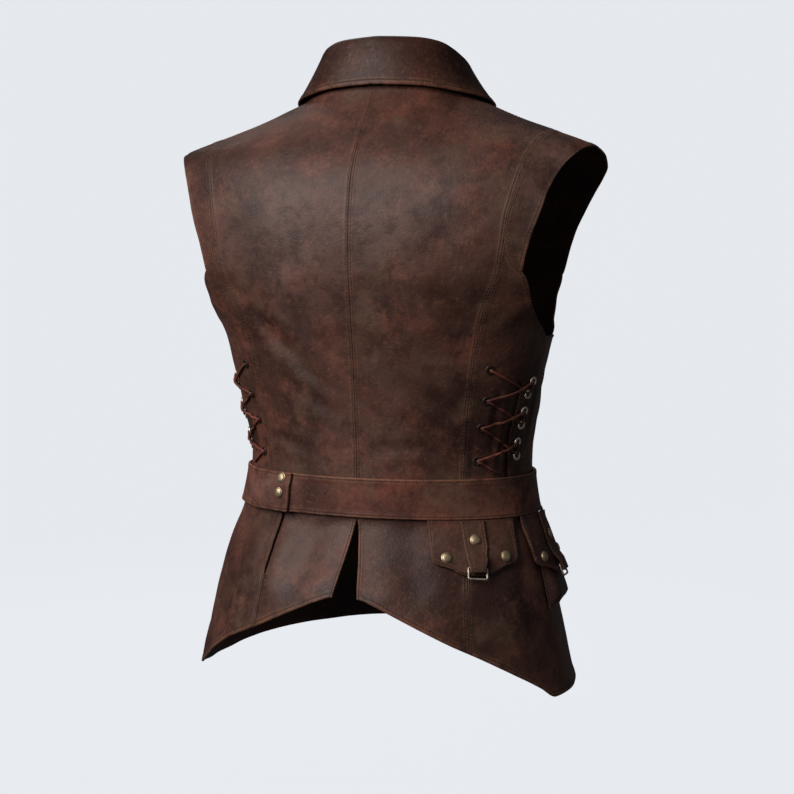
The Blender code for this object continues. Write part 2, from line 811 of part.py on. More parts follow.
def front_edge():
    """A front's edge from the hem up, then the V and the neckline round to the shoulder."""
    levels = skirt_heights(hem_z(FRONT_LAP_HEM_TURN))
    levels += heights((BELT_LINE_Z, BODY_ROWS), (NECKLINE_FRONT[0].z, 0))
    edge = [(front_edge_turn(z), z) for z in levels]
    return edge + curve(NECKLINE_FRONT, FRONT_UNDERARM_ROWS + BAND_FRONT_ROWS + 1)[1:]


def off_ridge(edge, side_of_ridge):
    """An edge kept clear of the shoulder ridge, on one side of it."""
    limit = RIDGE_TURN + side_of_ridge * RIDGE_GAP_TURN
    pick = max if side_of_ridge > 0 else min
    return [(pick(turn, limit), z) for turn, z in edge]


def build_back(side, name, material):
    """Back panel: centre seam and vent, neckline, shoulder, and the long back seam."""
    centre, seam = centre_edge(), back_seam_edge()
    if side > 0:
        seam = lap_back(seam, LAP_UNDER_TURN)
    left = off_ridge(inset(centre, seam), -1)
    right = off_ridge(inset(seam, centre), -1)
    rows = to_hem(ruled(left, right, even(BACK_COLUMNS)))
    return panel(name, mirror_rows(rows, side), material)


def build_side(side, name, material):
    """Side panel with its lacing slit, from the long back seam to the side seam."""
    apex = SKIRT_ROWS + BODY_ROWS + UNDERARM_ROWS
    seam = back_seam_edge()[: apex + 1]
    under = curve(ARMHOLE_UNDER_BACK[::-1], UNDERARM_ROWS - BAND_LOWER_ROWS + 1)
    front = side_seam_edge()[:-1] + under[:-1] + curve(BAND_BACK_LOWER, BAND_LOWER_ROWS + 1)
    lift = 0.0
    if side > 0:
        seam = lap_back(seam, LAP_TURN)
        lift = skirt_lap
    left, right = inset(seam, front), inset(front, seam)
    left[-1] = (left[-1][0], left[-1][1] - GAP)
    right[-1] = (right[-1][0], right[-1][1] - GAP)
    rows = []
    for a, b in zip(left, right):
        span = b[0] - a[0]
        share = SLIT_SHARE_ABOVE
        if a[1] < SLIT_TOP + SLIT_EASE:
            share = (smooth(SLIT, "turn", a[1]) - a[0]) / span
        half = SLIT_HALF_WIDTH / (steps(a[0] + share * span, a[1])[0].length * span)
        half = min(half, share * SLIT_NARROWEST_SHARE)
        shares = [(share - half) * k / SIDE_COLUMNS_BACK for k in range(SIDE_COLUMNS_BACK + 1)]
        shares += [
            blend(share + half, 1.0, k / SIDE_COLUMNS_FRONT) for k in range(SIDE_COLUMNS_FRONT + 1)
        ]
        rows.append([(blend(a[0], b[0], s), blend(a[1], b[1], s)) for s in shares])
    slit_rows = [i for i, (_, z) in enumerate(left) if SLIT[0].z <= z <= SLIT_TOP]

    def is_slit(row, column):
        return slit_rows[0] <= row < slit_rows[-1] and column == SIDE_COLUMNS_BACK

    return panel(name, mirror_rows(to_hem(rows), side), material, lift, is_open=is_slit)


def build_front(side, name, material):
    """A front: side seam, armhole, shoulder, V neckline, and the edge that laps over."""
    under = curve(ARMHOLE_UNDER_FRONT, FRONT_UNDERARM_ROWS + 1)
    band_seam = curve(BAND_FRONT_INNER, BAND_FRONT_ROWS + 1)[::-1]
    outer = side_seam_edge()[:-1] + under[:-1] + band_seam
    inner = front_edge()
    left, right = off_ridge(inset(outer, inner), 1), off_ridge(inset(inner, outer, 0.0), 1)
    lift = front_lap if side > 0 else 0.0
    rows = to_hem(ruled(left, right, even(FRONT_COLUMNS)))
    return panel(name, mirror_rows(rows, side), material, lift)


def build_band(side, name, material):
    """Armhole band, over the shoulder from the back of the armhole to its front."""
    apex = SKIRT_ROWS + BODY_ROWS + UNDERARM_ROWS
    lower = curve(BAND_BACK_LOWER, BAND_LOWER_ROWS + 1)
    front = curve(BAND_FRONT_INNER, BAND_FRONT_ROWS + 1)
    inner = lower + back_seam_edge()[apex:-1] + front
    back_count = len(inner) - len(front) + 1
    outer = curve(ARMHOLE_BACK, back_count) + curve(ARMHOLE_FRONT, len(front))[1:]
    rows = ruled(inset(inner, outer), outer, even(BAND_COLUMNS))
    return panel(name, mirror_rows(rows, side), material)


def mirror_rows(rows, side):
    return [mirrored(row, side) for row in rows]


def build_gusset(side, name, material):
    """The leather that closes the lacing slit from behind."""
    (back, front), (low, high) = GUSSET_TURNS, GUSSET_HEIGHTS
    left = [(back, z) for z in heights((low, GUSSET_GRID[0]), (high, 0))]
    right = [(front, z) for _, z in left]
    rows = ruled(left, right, even(GUSSET_GRID[1]))
    lift = -LEATHER - LAYER_GAP
    return panel(name, mirror_rows(rows, side), material, lift, GUSSET_LEATHER)


def collar_at(share, side):
    """The collar's shape at a share of the way from the centre back to its front end."""
    rows = [(i / (len(COLLAR) - 1), row) for i, row in enumerate(COLLAR)]
    keyed = [CollarAt(at, *row) for at, row in rows]
    turn, z, rise, lean, edge_turn, edge_z, edge_lift = (
        smooth(keyed, name, share) for name in Collar._fields
    )
    base = skin(side * turn, z)
    inward = Vector((-base.x, NECK_AXIS_Y - base.y, 0.0)).normalized()
    foot = base + inward * (LEATHER / 2 + blend(*STAND_CLEARANCE, share))
    fold = base + inward * lean + Vector((0.0, 0.0, rise))
    edge = skin(side * edge_turn, edge_z, edge_lift)
    return foot, inward, fold, edge


def collar_stations():
    """Stations of the collar from its right front end, round the back, to its left end."""
    half = [k / COLLAR_STATIONS for k in range(COLLAR_STATIONS + 1)]
    return [(share, -1) for share in half[:0:-1]] + [(share, 1) for share in half]


def build_collar_stand(name, material):
    """The stand: a wall from the neckline up to just under the fold."""
    grid = []
    for share, side in collar_stations():
        foot, _, fold, _ = collar_at(share, side)
        top = fold + (foot - fold).normalized() * STAND_TOP_DROP
        grid.append([foot.lerp(top, k / STAND_ROWS) for k in range(STAND_ROWS + 1)])
    return mid_wall(name, grid, LEATHER, material)


def build_collar_fall(name, material):
    """The fall: from the top of the stand over the fold and down to its free edge."""
    grid = []
    for share, side in collar_stations():
        foot, inward, fold, edge = collar_at(share, side)
        row = [fold + (foot - fold).normalized() * drop for drop in FALL_DROPS]
        row += [fold - inward * out + Vector((0.0, 0.0, up)) for out, up in FOLD]
        start = row[-1]
        away = (edge - start).normalized()
        bulge = (Vector((0.0, 0.0, 1.0)) - away * away.z).normalized()
        starts, full, ends, gone = FALL_HOLLOW_SHARES
        hollow = ramp(share, starts, full) - ramp(share, ends, gone)
        bulge *= blend(FALL_BULGE, FALL_HOLLOW, hollow)
        for k in range(1, FALL_ROWS + 1):
            t = k / FALL_ROWS
            row.append(start.lerp(edge, t) + bulge * math.sin(math.pi * t))
        grid.append(row)
    return mid_wall(name, grid, LEATHER, material)


def build_lapel(side, name, material):
    """A lapel, turned back along the V."""
    rows = ruled(
        curve(LAPEL_FOLD, LAPEL_ROWS + 1), curve(LAPEL_OUTER, LAPEL_ROWS + 1), even(LAPEL_COLUMNS)
    )

    def lift_left(turn, z):
        return front_lap(turn, z) + LEATHER + LAPEL_GAP_LEFT

    lift = lift_left if side > 0 else LEATHER + LAPEL_GAP_RIGHT
    return panel(name, mirror_rows(rows, side), material, lift)


def band_rows(start, end, columns):
    """Rows of places for a strap round the waist."""
    turns = [blend(start, end, share) for share in even(columns)]
    levels = heights((BELT_BOTTOM, BELT_ROWS), (BELT_TOP, 0))
    return [[(turn, z) for z in levels] for turn in turns]


def build_belt(name, material):
    """The long piece: from under the end piece, round the back and the right side."""
    rows = band_rows(BELT_START_TURN, BELT_END_TURN, BELT_COLUMNS)
    return panel(name, rows, material, on_body(LAYER_GAP + BELT_LEATHER), BELT_LEATHER)


def end_piece_lift(turn, z):
    over_belt = (BELT_LEATHER + LAYER_GAP) * (1.0 - ramp(turn, *END_PIECE_FADE))
    return body_surface(turn, z) + LAYER_GAP + BELT_LEATHER + over_belt


def build_end_piece(name, material):
    """The short piece: over the belt's end at the left, round the left side to the front."""
    rows = band_rows(END_PIECE_TURN, BELT_JOINT_TURN, END_PIECE_COLUMNS)
    return panel(name, rows, material, end_piece_lift, BELT_LEATHER)


def build_belt_buckle(frame_name, prong_name, material):
    """The closed front buckle, over the joint between the belt's two pieces."""
    z = (BELT_TOP + BELT_BOTTOM) / 2
    lift = body_surface(180.0, z) + 2 * LAYER_GAP + BELT_LEATHER
    place = spot(180.0, z, lift, BELT_BUCKLE_SEAT)
    buckle_frame(frame_name, place, BELT_BUCKLE_HALF, BELT_BUCKLE_BAR, BELT_BUCKLE_BEND, material)
    half = BELT_BUCKLE_HALF[0] + PRONG_RADIUS
    angles = [2 * math.pi * n / PRONG_SIDES for n in range(PRONG_SIDES)]
    section_points = [Vector((0.0, math.cos(a), math.sin(a))) * PRONG_RADIUS for a in angles]
    bm = bmesh.new()
    rings = []
    for k in range(PRONG_STATIONS + 1):
        x = blend(-half, half, k / PRONG_STATIONS)
        height = BELT_BUCKLE_BAR + GAP + PRONG_RADIUS - x * x / (2.0 * BELT_BUCKLE_BEND)
        middle = Vector((x, 0.0, height))
        rings.append([bm.verts.new(place @ (middle + point)) for point in section_points])
    for a, b in zip(rings, rings[1:]):
        for n in range(PRONG_SIDES):
            m = (n + 1) % PRONG_SIDES
            bm.faces.new([a[n], a[m], b[m], b[n]])
    bm.faces.new(rings[0])
    bm.faces.new(rings[-1][::-1])
    return finish_mesh(prong_name, bm, material)


def pouch_rise(turn, z, spread=0.0):
    """How far the pouch's face stands off the skirt, and what hangs over it with a spread."""
    (first, last), (low, high) = POUCH_TURNS, POUCH_HEIGHTS
    across = (turn - first) / (last - first)
    up = (z - low) / (high - low)
    near, far = (ramp(share, -spread, POUCH_SIDE_SLOPE) for share in (across, 1.0 - across))
    mouth = blend(1.0, POUCH_MOUTH, ramp(up, *POUCH_MOUTH_FADE))
    above = 1.0 - ramp(up, *POUCH_TOP_FADE)
    return POUCH_DEPTH * near * far * mouth * ramp(up, 0.0, POUCH_FOOT_SLOPE) * above


def build_pouch(name, material):
    """The pouch pocket under the side flap, sewn down at its sides and foot, open on top."""
    (first, last), (low, high) = POUCH_TURNS, POUCH_HEIGHTS
    rows = [
        [(blend(first, last, across), blend(low, high, up)) for across in even(POUCH_GRID[1])]
        for up in even(POUCH_GRID[0])
    ]

    def lift(turn, z):
        return pouch_rise(turn, z) + LAYER_GAP + POUCH_LEATHER

    return panel(name, rows, material, lift, POUCH_LEATHER)


def flap_place(flap, across, drop):
    """The place so many metres across from a flap's middle and down from its top."""
    z = FLAP_TOP - drop
    return walk(flap.turn, z, across), z


def flap_lift(flap):
    """The rule of a flap's outer face."""
    drop_at_edge = FLAP_EDGE[len(FLAP_EDGE) // 2].drop * flap.reach

    def lift(turn, z):
        rise = FLAP_EDGE_RISE * ramp(FLAP_TOP - z, 0.0, drop_at_edge)
        if flap.name == "side":
            rise += pouch_rise(turn, z, POUCH_FLAP_SPREAD) + POUCH_LEATHER + LAYER_GAP
        return FLAP_CLEARANCE + LEATHER + rise

    return lift


def build_flap(flap, name, material):
    """A pocket flap with rounded corners and a flat nose."""
    rows = []
    for down in even(FLAP_ROWS):
        row = []
        for share in even(FLAP_COLUMNS):
            across = blend(-1.0, 1.0, share)
            drop = smooth(FLAP_EDGE, "drop", across) * flap.reach
            row.append(flap_place(flap, across * flap.half_width, drop * down))
        rows.append(row)
    return panel(name, rows, material, flap_lift(flap))


def strap_lift(flap):
    """The rule of a strap's outer face: flat on the flap, then over the buckle's top bar."""
    under = flap_lift(flap)
    bar = FLAP_TOP - (STRAP_BUCKLE_DROP - STRAP_BUCKLE_HALF[1]) * flap.reach
    start, end = (bar + above for above in STRAP_RISE_ABOVE_BAR)

    def lift(turn, z):
        over_bar = STRAP_BUCKLE_RISE * ramp(z, start, end)
        return under(turn, z) + LAYER_GAP + STRAP_LEATHER + over_bar

    return lift


def build_strap(flap, name, material):
    """The strap down the middle of a flap, with its ogee end through the buckle."""
    rows = []
    for row in STRAP_WIDTHS:
        rows.append([
            flap_place(flap, row.half_width * across, STRAP_TOP_DROP + row.drop * flap.reach)
            for across in STRAP_SHARES
        ])
    return panel(name, rows, material, strap_lift(flap), STRAP_LEATHER)


def build_flap_hardware(flap, brass, pale):
    """The three rivets and the small buckle of a flap."""
    for rivet in FLAP_RIVETS:
        turn, z = flap_place(flap, rivet.across * flap.half_width, rivet.drop * flap.reach)
        under = strap_lift(flap) if rivet.across == 0.0 else flap_lift(flap)
        place = spot(turn, z, under, LAYER_GAP)
        name = f"rivet_{flap.name}_{rivet.name}"
        revolved(name, place, dome(RIVET_RADIUS, RIVET_HEIGHT), ROUND_SEGMENTS, brass)
    turn, z = flap_place(flap, 0.0, STRAP_BUCKLE_DROP * flap.reach)
    place = spot(turn, z, flap_lift(flap), LAYER_GAP)
    name = f"strap_buckle_{flap.name}"
    buckle_frame(name, place, STRAP_BUCKLE_HALF, STRAP_BUCKLE_BAR, STRAP_BUCKLE_BEND, pale)


def lace_path(side):
    """The lace's points: across the slit and back, crossing itself three times."""
    stops = [(LACE_BACK_ROW[0], 0.0)]
    for k in range(CROSSINGS):
        upper, lower = LACE_FRONT_ROW[2 * k], LACE_FRONT_ROW[2 * k + 1]
        stops += [(lower, 0.0), (upper, 1.0), (LACE_BACK_ROW[k + 1], 0.0)]
    stops.append((LACE_END, 0.0))
    points = []
    for (start, _), (end, rises) in zip(stops, stops[1:]):
        crosses = rises == 0.0 and end in LACE_BACK_ROW
        length = (skin(*start) - skin(*end)).length
        count = max(round(length / LACE_POINT_STEP), 2)
        for k in range(count):
            t = k / count
            lift = LACE_LIFT
            if crosses:
                lift += LACE_CROSSING_RISE * math.sin(math.pi * t) ** 2 * LACE_HUMP
            turn, z = blend(start.turn, end.turn, t), blend(start.z, end.z, t)
            points.append(skin(side * turn, z, min(lift, LACE_LIFT + LACE_CROSSING_RISE)))
    points.append(skin(side * LACE_END.turn, LACE_END.z, LACE_LIFT))
    return points


def build_lace(side, name, material):
    """A round lace along its path."""
    curve_data = bpy.data.curves.new(name, "CURVE")
    curve_data.dimensions = "3D"
    curve_data.bevel_depth = LACE_RADIUS
    curve_data.bevel_resolution = LACE_SIDES_SETTING
    curve_data.use_fill_caps = True
    path = lace_path(side)
    spline = curve_data.splines.new("POLY")
    spline.points.add(len(path) - 1)
    for point, place in zip(spline.points, path):
        point.co = (*place, 1.0)
    curve_data.materials.append(material)
    lace = bpy.data.objects.new(name, curve_data)
    bpy.context.scene.collection.objects.link(lace)
    return lace


def build_eyelets(side, label, material):
    """The metal eyelets of the lacing's front row."""
    hole, radius, height = EYELET_HOLE, EYELET_RADIUS, EYELET_HEIGHT
    profile = [(hole, 0.0), (radius, 0.0), (radius * EYELET_TOP_SHARE, height), (hole, height)]
    for k, eyelet in enumerate(LACE_FRONT_ROW, 1):
        place = spot(side * eyelet.turn, eyelet.z, 0.0, GAP)
        revolved(f"eyelet_{label}_{k}", place, profile, EYELET_SEGMENTS, material, ring=True)


def build_buttons(material):
    """Two columns of buttons, both over the left front."""
    for column, sign in (("left", 1), ("right", -1)):
        for k, (z, spread) in enumerate(zip(BUTTON_HEIGHTS, BUTTON_SPREADS), 1):
            turn = walk(180.0, z, -sign * spread)
            place = spot(turn, z, body_surface, LAYER_GAP)
            profile = dome(BUTTON_RADIUS, BUTTON_HEIGHT)
            revolved(f"button_{column}_{k}", place, profile, ROUND_SEGMENTS, material)


def build_belt_rivets(material):
    for k, rivet in enumerate(BELT_RIVETS, 1):
        place = spot(rivet.turn, rivet.z, end_piece_lift, BELT_RIVET_GAP)
        profile = dome(RIVET_RADIUS, RIVET_HEIGHT)
        revolved(f"belt_rivet_{k}", place, profile, ROUND_SEGMENTS, material)


def main():
    for item in list(bpy.data.objects):
        bpy.data.objects.remove(item, do_unlink=True)
    leather = make_material(VEST_LEATHER)
    strap_leather = make_material(BELT_FINISH)
    lace_leather = make_material(LACE_FINISH)
    brass = make_material(BRASS)
    steel = make_material(PALE_METAL)
    for side, label in ((1, "left"), (-1, "right")):
        build_back(side, f"back_{label}", leather)
        build_side(side, f"side_{label}", leather)
        build_front(side, f"front_{label}", leather)
        build_band(side, f"armhole_band_{label}", leather)
        build_gusset(side, f"lacing_gusset_{label}", leather)
        build_lapel(side, f"lapel_{label}", leather)
        build_lace(side, f"lace_{label}", lace_leather)
        build_eyelets(side, label, brass)
    build_collar_stand("collar_stand", leather)
    build_collar_fall("collar_fall", leather)
    build_belt("belt", strap_leather)
    build_end_piece("belt_end_piece", strap_leather)
    build_belt_buckle("belt_buckle_frame", "belt_buckle_prong", brass)
    build_belt_rivets(brass)
    build_pouch("pouch_side", leather)
    for flap in FLAPS:
        build_flap(flap, f"flap_{flap.name}", leather)
        build_strap(flap, f"strap_{flap.name}", leather)
        build_flap_hardware(flap, brass, steel)
    build_buttons(brass)


main()
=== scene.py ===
"""Double-breasted leather vest: the finished leather, stitching and metal around its solids.

A place on the vest's form is a pair (turn, z): turn is the number of degrees round from the
centre back, positive towards the wearer's left, and z is the height. A lift moves a place
straight out of the form. Arrays of places hold turn and z along their last axis.
"""

import math

import bmesh
import bpy
import numpy as np
from bpy.props import FloatProperty, FloatVectorProperty, PointerProperty
from bpy.types import Operator, Panel, PropertyGroup
from mathutils import Matrix, Vector


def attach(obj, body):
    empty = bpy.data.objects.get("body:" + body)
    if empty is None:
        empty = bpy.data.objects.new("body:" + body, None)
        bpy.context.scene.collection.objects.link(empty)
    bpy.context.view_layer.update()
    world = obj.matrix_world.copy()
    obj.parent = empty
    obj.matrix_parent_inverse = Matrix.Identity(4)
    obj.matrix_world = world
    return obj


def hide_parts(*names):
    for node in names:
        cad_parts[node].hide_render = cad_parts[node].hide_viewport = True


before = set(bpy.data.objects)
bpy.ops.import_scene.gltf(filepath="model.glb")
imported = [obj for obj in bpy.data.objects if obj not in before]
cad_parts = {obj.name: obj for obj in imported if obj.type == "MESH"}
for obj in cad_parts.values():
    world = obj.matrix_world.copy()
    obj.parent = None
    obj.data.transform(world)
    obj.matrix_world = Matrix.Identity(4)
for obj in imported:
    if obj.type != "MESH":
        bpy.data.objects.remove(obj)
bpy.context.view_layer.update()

bl_info = {
    "name": "Double-breasted leather vest",
    "version": (1, 0, 0),
    "blender": (4, 5, 0),
    "location": "3D View > Sidebar > Vest",
    "description": "Makes the vest's finished leather, stitching, lacing, metal and stage",
    "category": "Object",
}

# Leather and gaps
LEATHER = 0.0020
BELT_LEATHER = 0.0030
GUSSET_LEATHER = 0.0016
GAP = 0.0003
LAYER_GAP = 0.0006
METRES_PER_DEGREE = 0.0026

# The form: height, half width, depths of the centre back and the centre front, the widest
# line's depth, and how square the section is
LEVELS = np.array([
    (-0.600, 0.2015, 0.1500, -0.1430, 0.010, 2.15),
    (-0.550, 0.1905, 0.1400, -0.1370, 0.010, 2.10),
    (-0.500, 0.1790, 0.1280, -0.1290, 0.010, 2.10),
    (-0.460, 0.1705, 0.1060, -0.1210, 0.008, 2.10),
    (-0.425, 0.1600, 0.0925, -0.1140, 0.004, 2.05),
    (-0.370, 0.1520, 0.0925, -0.1090, -0.002, 2.05),
    (-0.310, 0.1610, 0.0970, -0.1170, 0.006, 2.10),
    (-0.250, 0.1725, 0.1035, -0.1250, 0.013, 2.20),
    (-0.230, 0.1810, 0.1070, -0.1260, 0.012, 2.25),
    (-0.207, 0.2000, 0.1100, -0.1250, 0.012, 2.30),
    (-0.178, 0.2265, 0.1140, -0.1220, 0.012, 2.30),
    (-0.150, 0.2330, 0.1150, -0.1170, 0.012, 2.35),
    (-0.115, 0.2380, 0.1135, -0.1070, 0.013, 2.35),
    (-0.080, 0.2360, 0.1055, -0.0940, 0.014, 2.30),
    (-0.066, 0.2305, 0.0980, -0.0880, 0.014, 2.25),
    (-0.055, 0.2205, 0.0910, -0.0830, 0.012, 2.20),
    (-0.049, 0.2070, 0.0870, -0.0800, 0.009, 2.15),
    (-0.036, 0.1710, 0.0760, -0.0740, 0.003, 2.10),
    (-0.026, 0.1436, 0.0680, -0.0690, 0.000, 2.05),
    (-0.015, 0.1180, 0.0580, -0.0630, -0.002, 2.00),
    (0.000, 0.0870, 0.0470, -0.0560, -0.004, 2.00),
    (0.014, 0.0780, 0.0400, -0.0500, -0.006, 2.00),
])

# How the yoke's bend is made soft: heights away and their shares, and where it starts and ends
YOKE_SOFTENING = [(-0.022, 0.16), (-0.011, 0.22), (0.0, 0.24), (0.011, 0.22), (0.022, 0.16)]
YOKE_SOFT_FROM = (-0.170, -0.135)
YOKE_SOFT_TO = (-0.022, -0.045)

# Centre back, seams and hem
VENT_TOP = -0.420
VENT_HALF_WIDTH = 0.013
VENT_HEM_TURN = 4.2
NECK_BACK = 0.014
BACK_SEAM = np.array([
    (-0.600, 0.1310), (-0.540, 0.1230), (-0.474, 0.1155), (-0.420, 0.1070),
    (-0.376, 0.1042), (-0.336, 0.1070), (-0.282, 0.1149), (-0.249, 0.1210),
    (-0.221, 0.1278), (-0.200, 0.1360), (-0.180, 0.1455), (-0.152, 0.1510),
    (-0.126, 0.1547), (-0.096, 0.1617), (-0.065, 0.1699), (-0.038, 0.1800),
])
BACK_SEAM_HEM_Z = -0.545
SHOULDER_SEAM_OUTER_Z = -0.038
BAND_APEX_Z = -0.146
SIDE_SEAM_TURN = 110.0
UNDERARM_Z = -0.243
RIDGE_TURN = 90.0
RIDGE_GAP_TURN = 0.12
LAP_START = (-0.384, -0.398)
LAP_SPREAD = (-0.401, -0.4225)
LAP_TURN = 31.5
LAP_UNDER_TURN = 36.5
LAP_FADE = (43.5, 55.0)
LAP_LIFT = 0.0032
LAP_COVER = (24.0, 28.5)
LAP_TACK_Z = -0.487
LAP_TACK_HALF = 0.0035
LAP_TACK_TURNS = (-1.1, 1.3)
LAP_TACK_COUNT = 6
LAP_FLATTER = (-0.478, -0.494)
LAP_FLAT_SHARE = 0.30
LAP_PRESSED = (31.0, 34.2)
LAP_PRESSED_SHARE = 0.85
HEM = np.array([
    (0.0, -0.4975), (4.2, -0.4985), (8.5, -0.5030), (16.4, -0.5140), (25.2, -0.5270),
    (33.4, -0.5390), (44.0, -0.5530), (55.5, -0.5695), (67.8, -0.5870), (75.0, -0.5985),
    (92.0, -0.5995), (120.0, -0.5900), (150.0, -0.5800), (200.0, -0.5700),
])
ARMHOLE_UNDER_BACK = [
    (45.3, -0.1788), (50.5, -0.1950), (57.0, -0.2070), (66.0, -0.2200), (79.0, -0.2355),
    (95.0, -0.2465), (SIDE_SEAM_TURN, UNDERARM_Z),
]
ARMHOLE_UNDER_FRONT = [
    (SIDE_SEAM_TURN, UNDERARM_Z), (122.0, -0.2230), (131.0, -0.2030), (135.0, -0.1830),
]
ARMHOLE_BACK = [
    (45.0, -0.1770), (44.9, -0.1620), (46.1, -0.1390), (48.3, -0.1170), (51.2, -0.0970),
    (58.0, -0.0740), (72.0, -0.0585), (90.0, -0.0545),
]
ARMHOLE_FRONT = [
    (90.0, -0.0545), (104.0, -0.0700), (118.0, -0.0900), (128.0, -0.1130), (133.5, -0.1400),
    (135.6, -0.1650), (135.9, -0.1820),
]
BAND_BACK_LOWER = [(44.7, -0.1770), (41.6, -0.1700), (39.2, -0.1580), (37.8, -0.1480)]
BAND_FRONT_INNER = [
    (90.0, SHOULDER_SEAM_OUTER_Z), (112.0, -0.0450), (130.0, -0.0640), (139.0, -0.0900),
    (142.0, -0.1200), (141.5, -0.1500), (138.5, -0.1750), (136.2, -0.1822),
]
NECKLINE_BACK = [(0.0, NECK_BACK), (30.0, 0.0130), (60.0, 0.0085), (90.0, 0.0)]
NECKLINE_FRONT = [
    (198.0, -0.2000), (187.0, -0.1700), (179.0, -0.1400), (175.0, -0.1050),
    (170.0, -0.0720), (161.0, -0.0420), (150.0, -0.0240), (133.0, -0.0120),
    (112.0, -0.0050), (90.0, 0.0),
]
FRONT_LAP_TURN = 198.0
FRONT_LAP_HEM_TURN = 199.0
FRONT_LAP_FADE_TURN = 18.0
FRONT_LAP_REST_TURN = 1.5
FRONT_LAP_STEP = (0.5, 8.0)
FRONT_EDGE_SPREAD = (-0.30, -0.58)
FRONT_LAP_START = (-0.112, -0.136)
FRONT_LAP_LIFT = 0.0032

# Rows of the panels' seams, from the hem up
BELT_LINE_Z = -0.400
SKIRT_ROWS = 7
SKIRT_SPACING = 1.25
BODY_ROWS = 9
UNDERARM_ROWS = 7
BAND_LOWER_ROWS = 3
YOKE_ROWS = 12
CENTRE_YOKE_ROWS = 7
FRONT_UNDERARM_ROWS = 3
BAND_FRONT_ROWS = 9

# Lacing: the slit and its gusset, the lace's holes, how high the lace lies at a hole, between
# holes and over a crossing, how long its rise from a hole is, and the eyelets
SLIT = np.array([
    (-0.395, 66.0), (-0.368, 65.6), (-0.343, 65.0), (-0.318, 66.8), (-0.286, 69.4),
])
SLIT_HALF_WIDTH = 0.0028
SLIT_SHARE_ABOVE = 0.36
SLIT_BLEND = (0.004, 0.016)
GUSSET_TURNS = (56.0, 81.0)
GUSSET_HEIGHTS = (-0.398, -0.270)
GUSSET_STATIONS = 30
LACE_BACK_ROW = [(50.3, -0.2733), (50.6, -0.3042), (49.3, -0.3313), (48.9, -0.3647)]
LACE_FRONT_ROW = [
    (80.0, -0.2866), (76.3, -0.2996), (75.0, -0.3164), (74.2, -0.3307), (73.0, -0.3480),
    (73.2, -0.3624),
]
LACE_END = (60.0, -0.3785)
LACE_RADIUS = 0.0012
LACE_CROSSING_RISE = 0.0028
LACE_FLAT_LIFT = 0.0018
LACE_HOLE_LIFT = 0.0004
LACE_HOLE_RUN = 0.0038
LACE_STEP = 0.0012
LACE_FLATNESS = 1.15
LACE_SIDES = 10
EYELET_RADIUS = 0.0048
EYELET_HOLE = 0.0022
EYELET_HEIGHT = 0.0011
EYELET_SUNK = -0.0006
EYELET_RIM = 0.0001
EYELET_STEPS = 8
EYELET_SEGMENTS = 28

# Belt
BELT_TOP = -0.3825
BELT_BOTTOM = -0.4225
BELT_START_TURN = 47.0
BELT_END_TURN = -185.2
END_PIECE_TURN = 27.2
END_PIECE_FADE = (47.5, 62.0)
BELT_JOINT_TURN = 174.4
BELT_STATIONS = 120
BELT_BUCKLE_HALF = (0.0210, 0.0270)
BELT_BUCKLE_BAR = 0.0040
BELT_BUCKLE_BEND = 0.20
BELT_BUCKLE_CORNER = 0.0045
FRAME_STEP = 0.002
PRONG_RADIUS = 0.0016
PRONG_TAPER = 0.7
PRONG_POINTS = 24
BELT_RIVETS = [(31.9, -0.3880), (31.9, -0.4035)]
# Holes are shown as dark discs on the leather: painted shade in the holes.
BELT_HOLES = [(19.1, -0.3988), (11.9, -0.3997)]
SKIRT_HOLE = (37.2, -0.4300)
HOLE_RADIUS = 0.0013
HOLE = [(0.0, 0.0), (HOLE_RADIUS, 0.0), (HOLE_RADIUS * 0.7, 0.0001), (0.0, 0.00005)]
HOLE_SEGMENTS = 16
RIVET_RADIUS = 0.0055
RIVET_HEIGHT = 0.0022
BELT_RIVET_GAP = 0.0004

# Pocket flaps: middle's turn, half width, and how much longer than the first one
FLAPS = {"back": (-44.2, 0.0435, 1.00), "side": (-92.5, 0.0390, 1.16)}
FLAP_TOP = -0.4235
FLAP_EDGE = np.array([
    (-1.00, 0.0370), (-0.93, 0.0410), (-0.60, 0.0455), (-0.24, 0.0520),
    (0.24, 0.0520), (0.60, 0.0455), (0.93, 0.0410), (1.00, 0.0370),
])
FLAP_CLEARANCE = 0.0010
FLAP_EDGE_RISE = 0.0012
FLAP_DEPTH = 0.050
FLAP_RIVETS = {"rear": (0.674, 0.0352), "middle": (0.0, 0.0195), "fore": (-0.674, 0.0352)}
STRAP_WIDTHS = np.array([
    (0.0000, 0.0114), (0.0130, 0.0114), (0.0260, 0.0114), (0.0330, 0.0098),
    (0.0390, 0.0100), (0.0430, 0.0080), (0.0500, 0.0078),
])
STRAP_LEATHER = 0.0018
STRAP_FULL_WIDTH = 0.025
STRAP_GAP = 0.0001
STRAP_BUCKLE_RISE = 0.0031
STRAP_RISE_ABOVE_BAR = (0.012, 0.002)
STRAP_BUCKLE_DROP = 0.0505
STRAP_BUCKLE_HALF = (0.0103, 0.0068)
STRAP_BUCKLE_BAR = 0.0020
STRAP_BUCKLE_BEND = 0.30
STRAP_BUCKLE_CORNER = 0.0020
STRAP_TOP_DROP = 0.0006
TOP_REACH = 0.0009
CROSS_DROP = 0.0355
CROSS_HALF = 0.0017
WALK_STEPS = 6
POUCH_TURNS = (-81.0, -105.0)
POUCH_HEIGHTS = (-0.5170, -0.4400)
POUCH_STATIONS = 20
POUCH_DEPTH = 0.0105
POUCH_MOUTH = 0.12
POUCH_SIDE_SLOPE = 0.24
POUCH_FOOT_SLOPE = 0.14
POUCH_MOUTH_FADE = (0.15, 0.90)
POUCH_TOP_FADE = (1.0, 1.2)
POUCH_FLAP_SPREAD = 0.35
POUCH_LEATHER = 0.0016

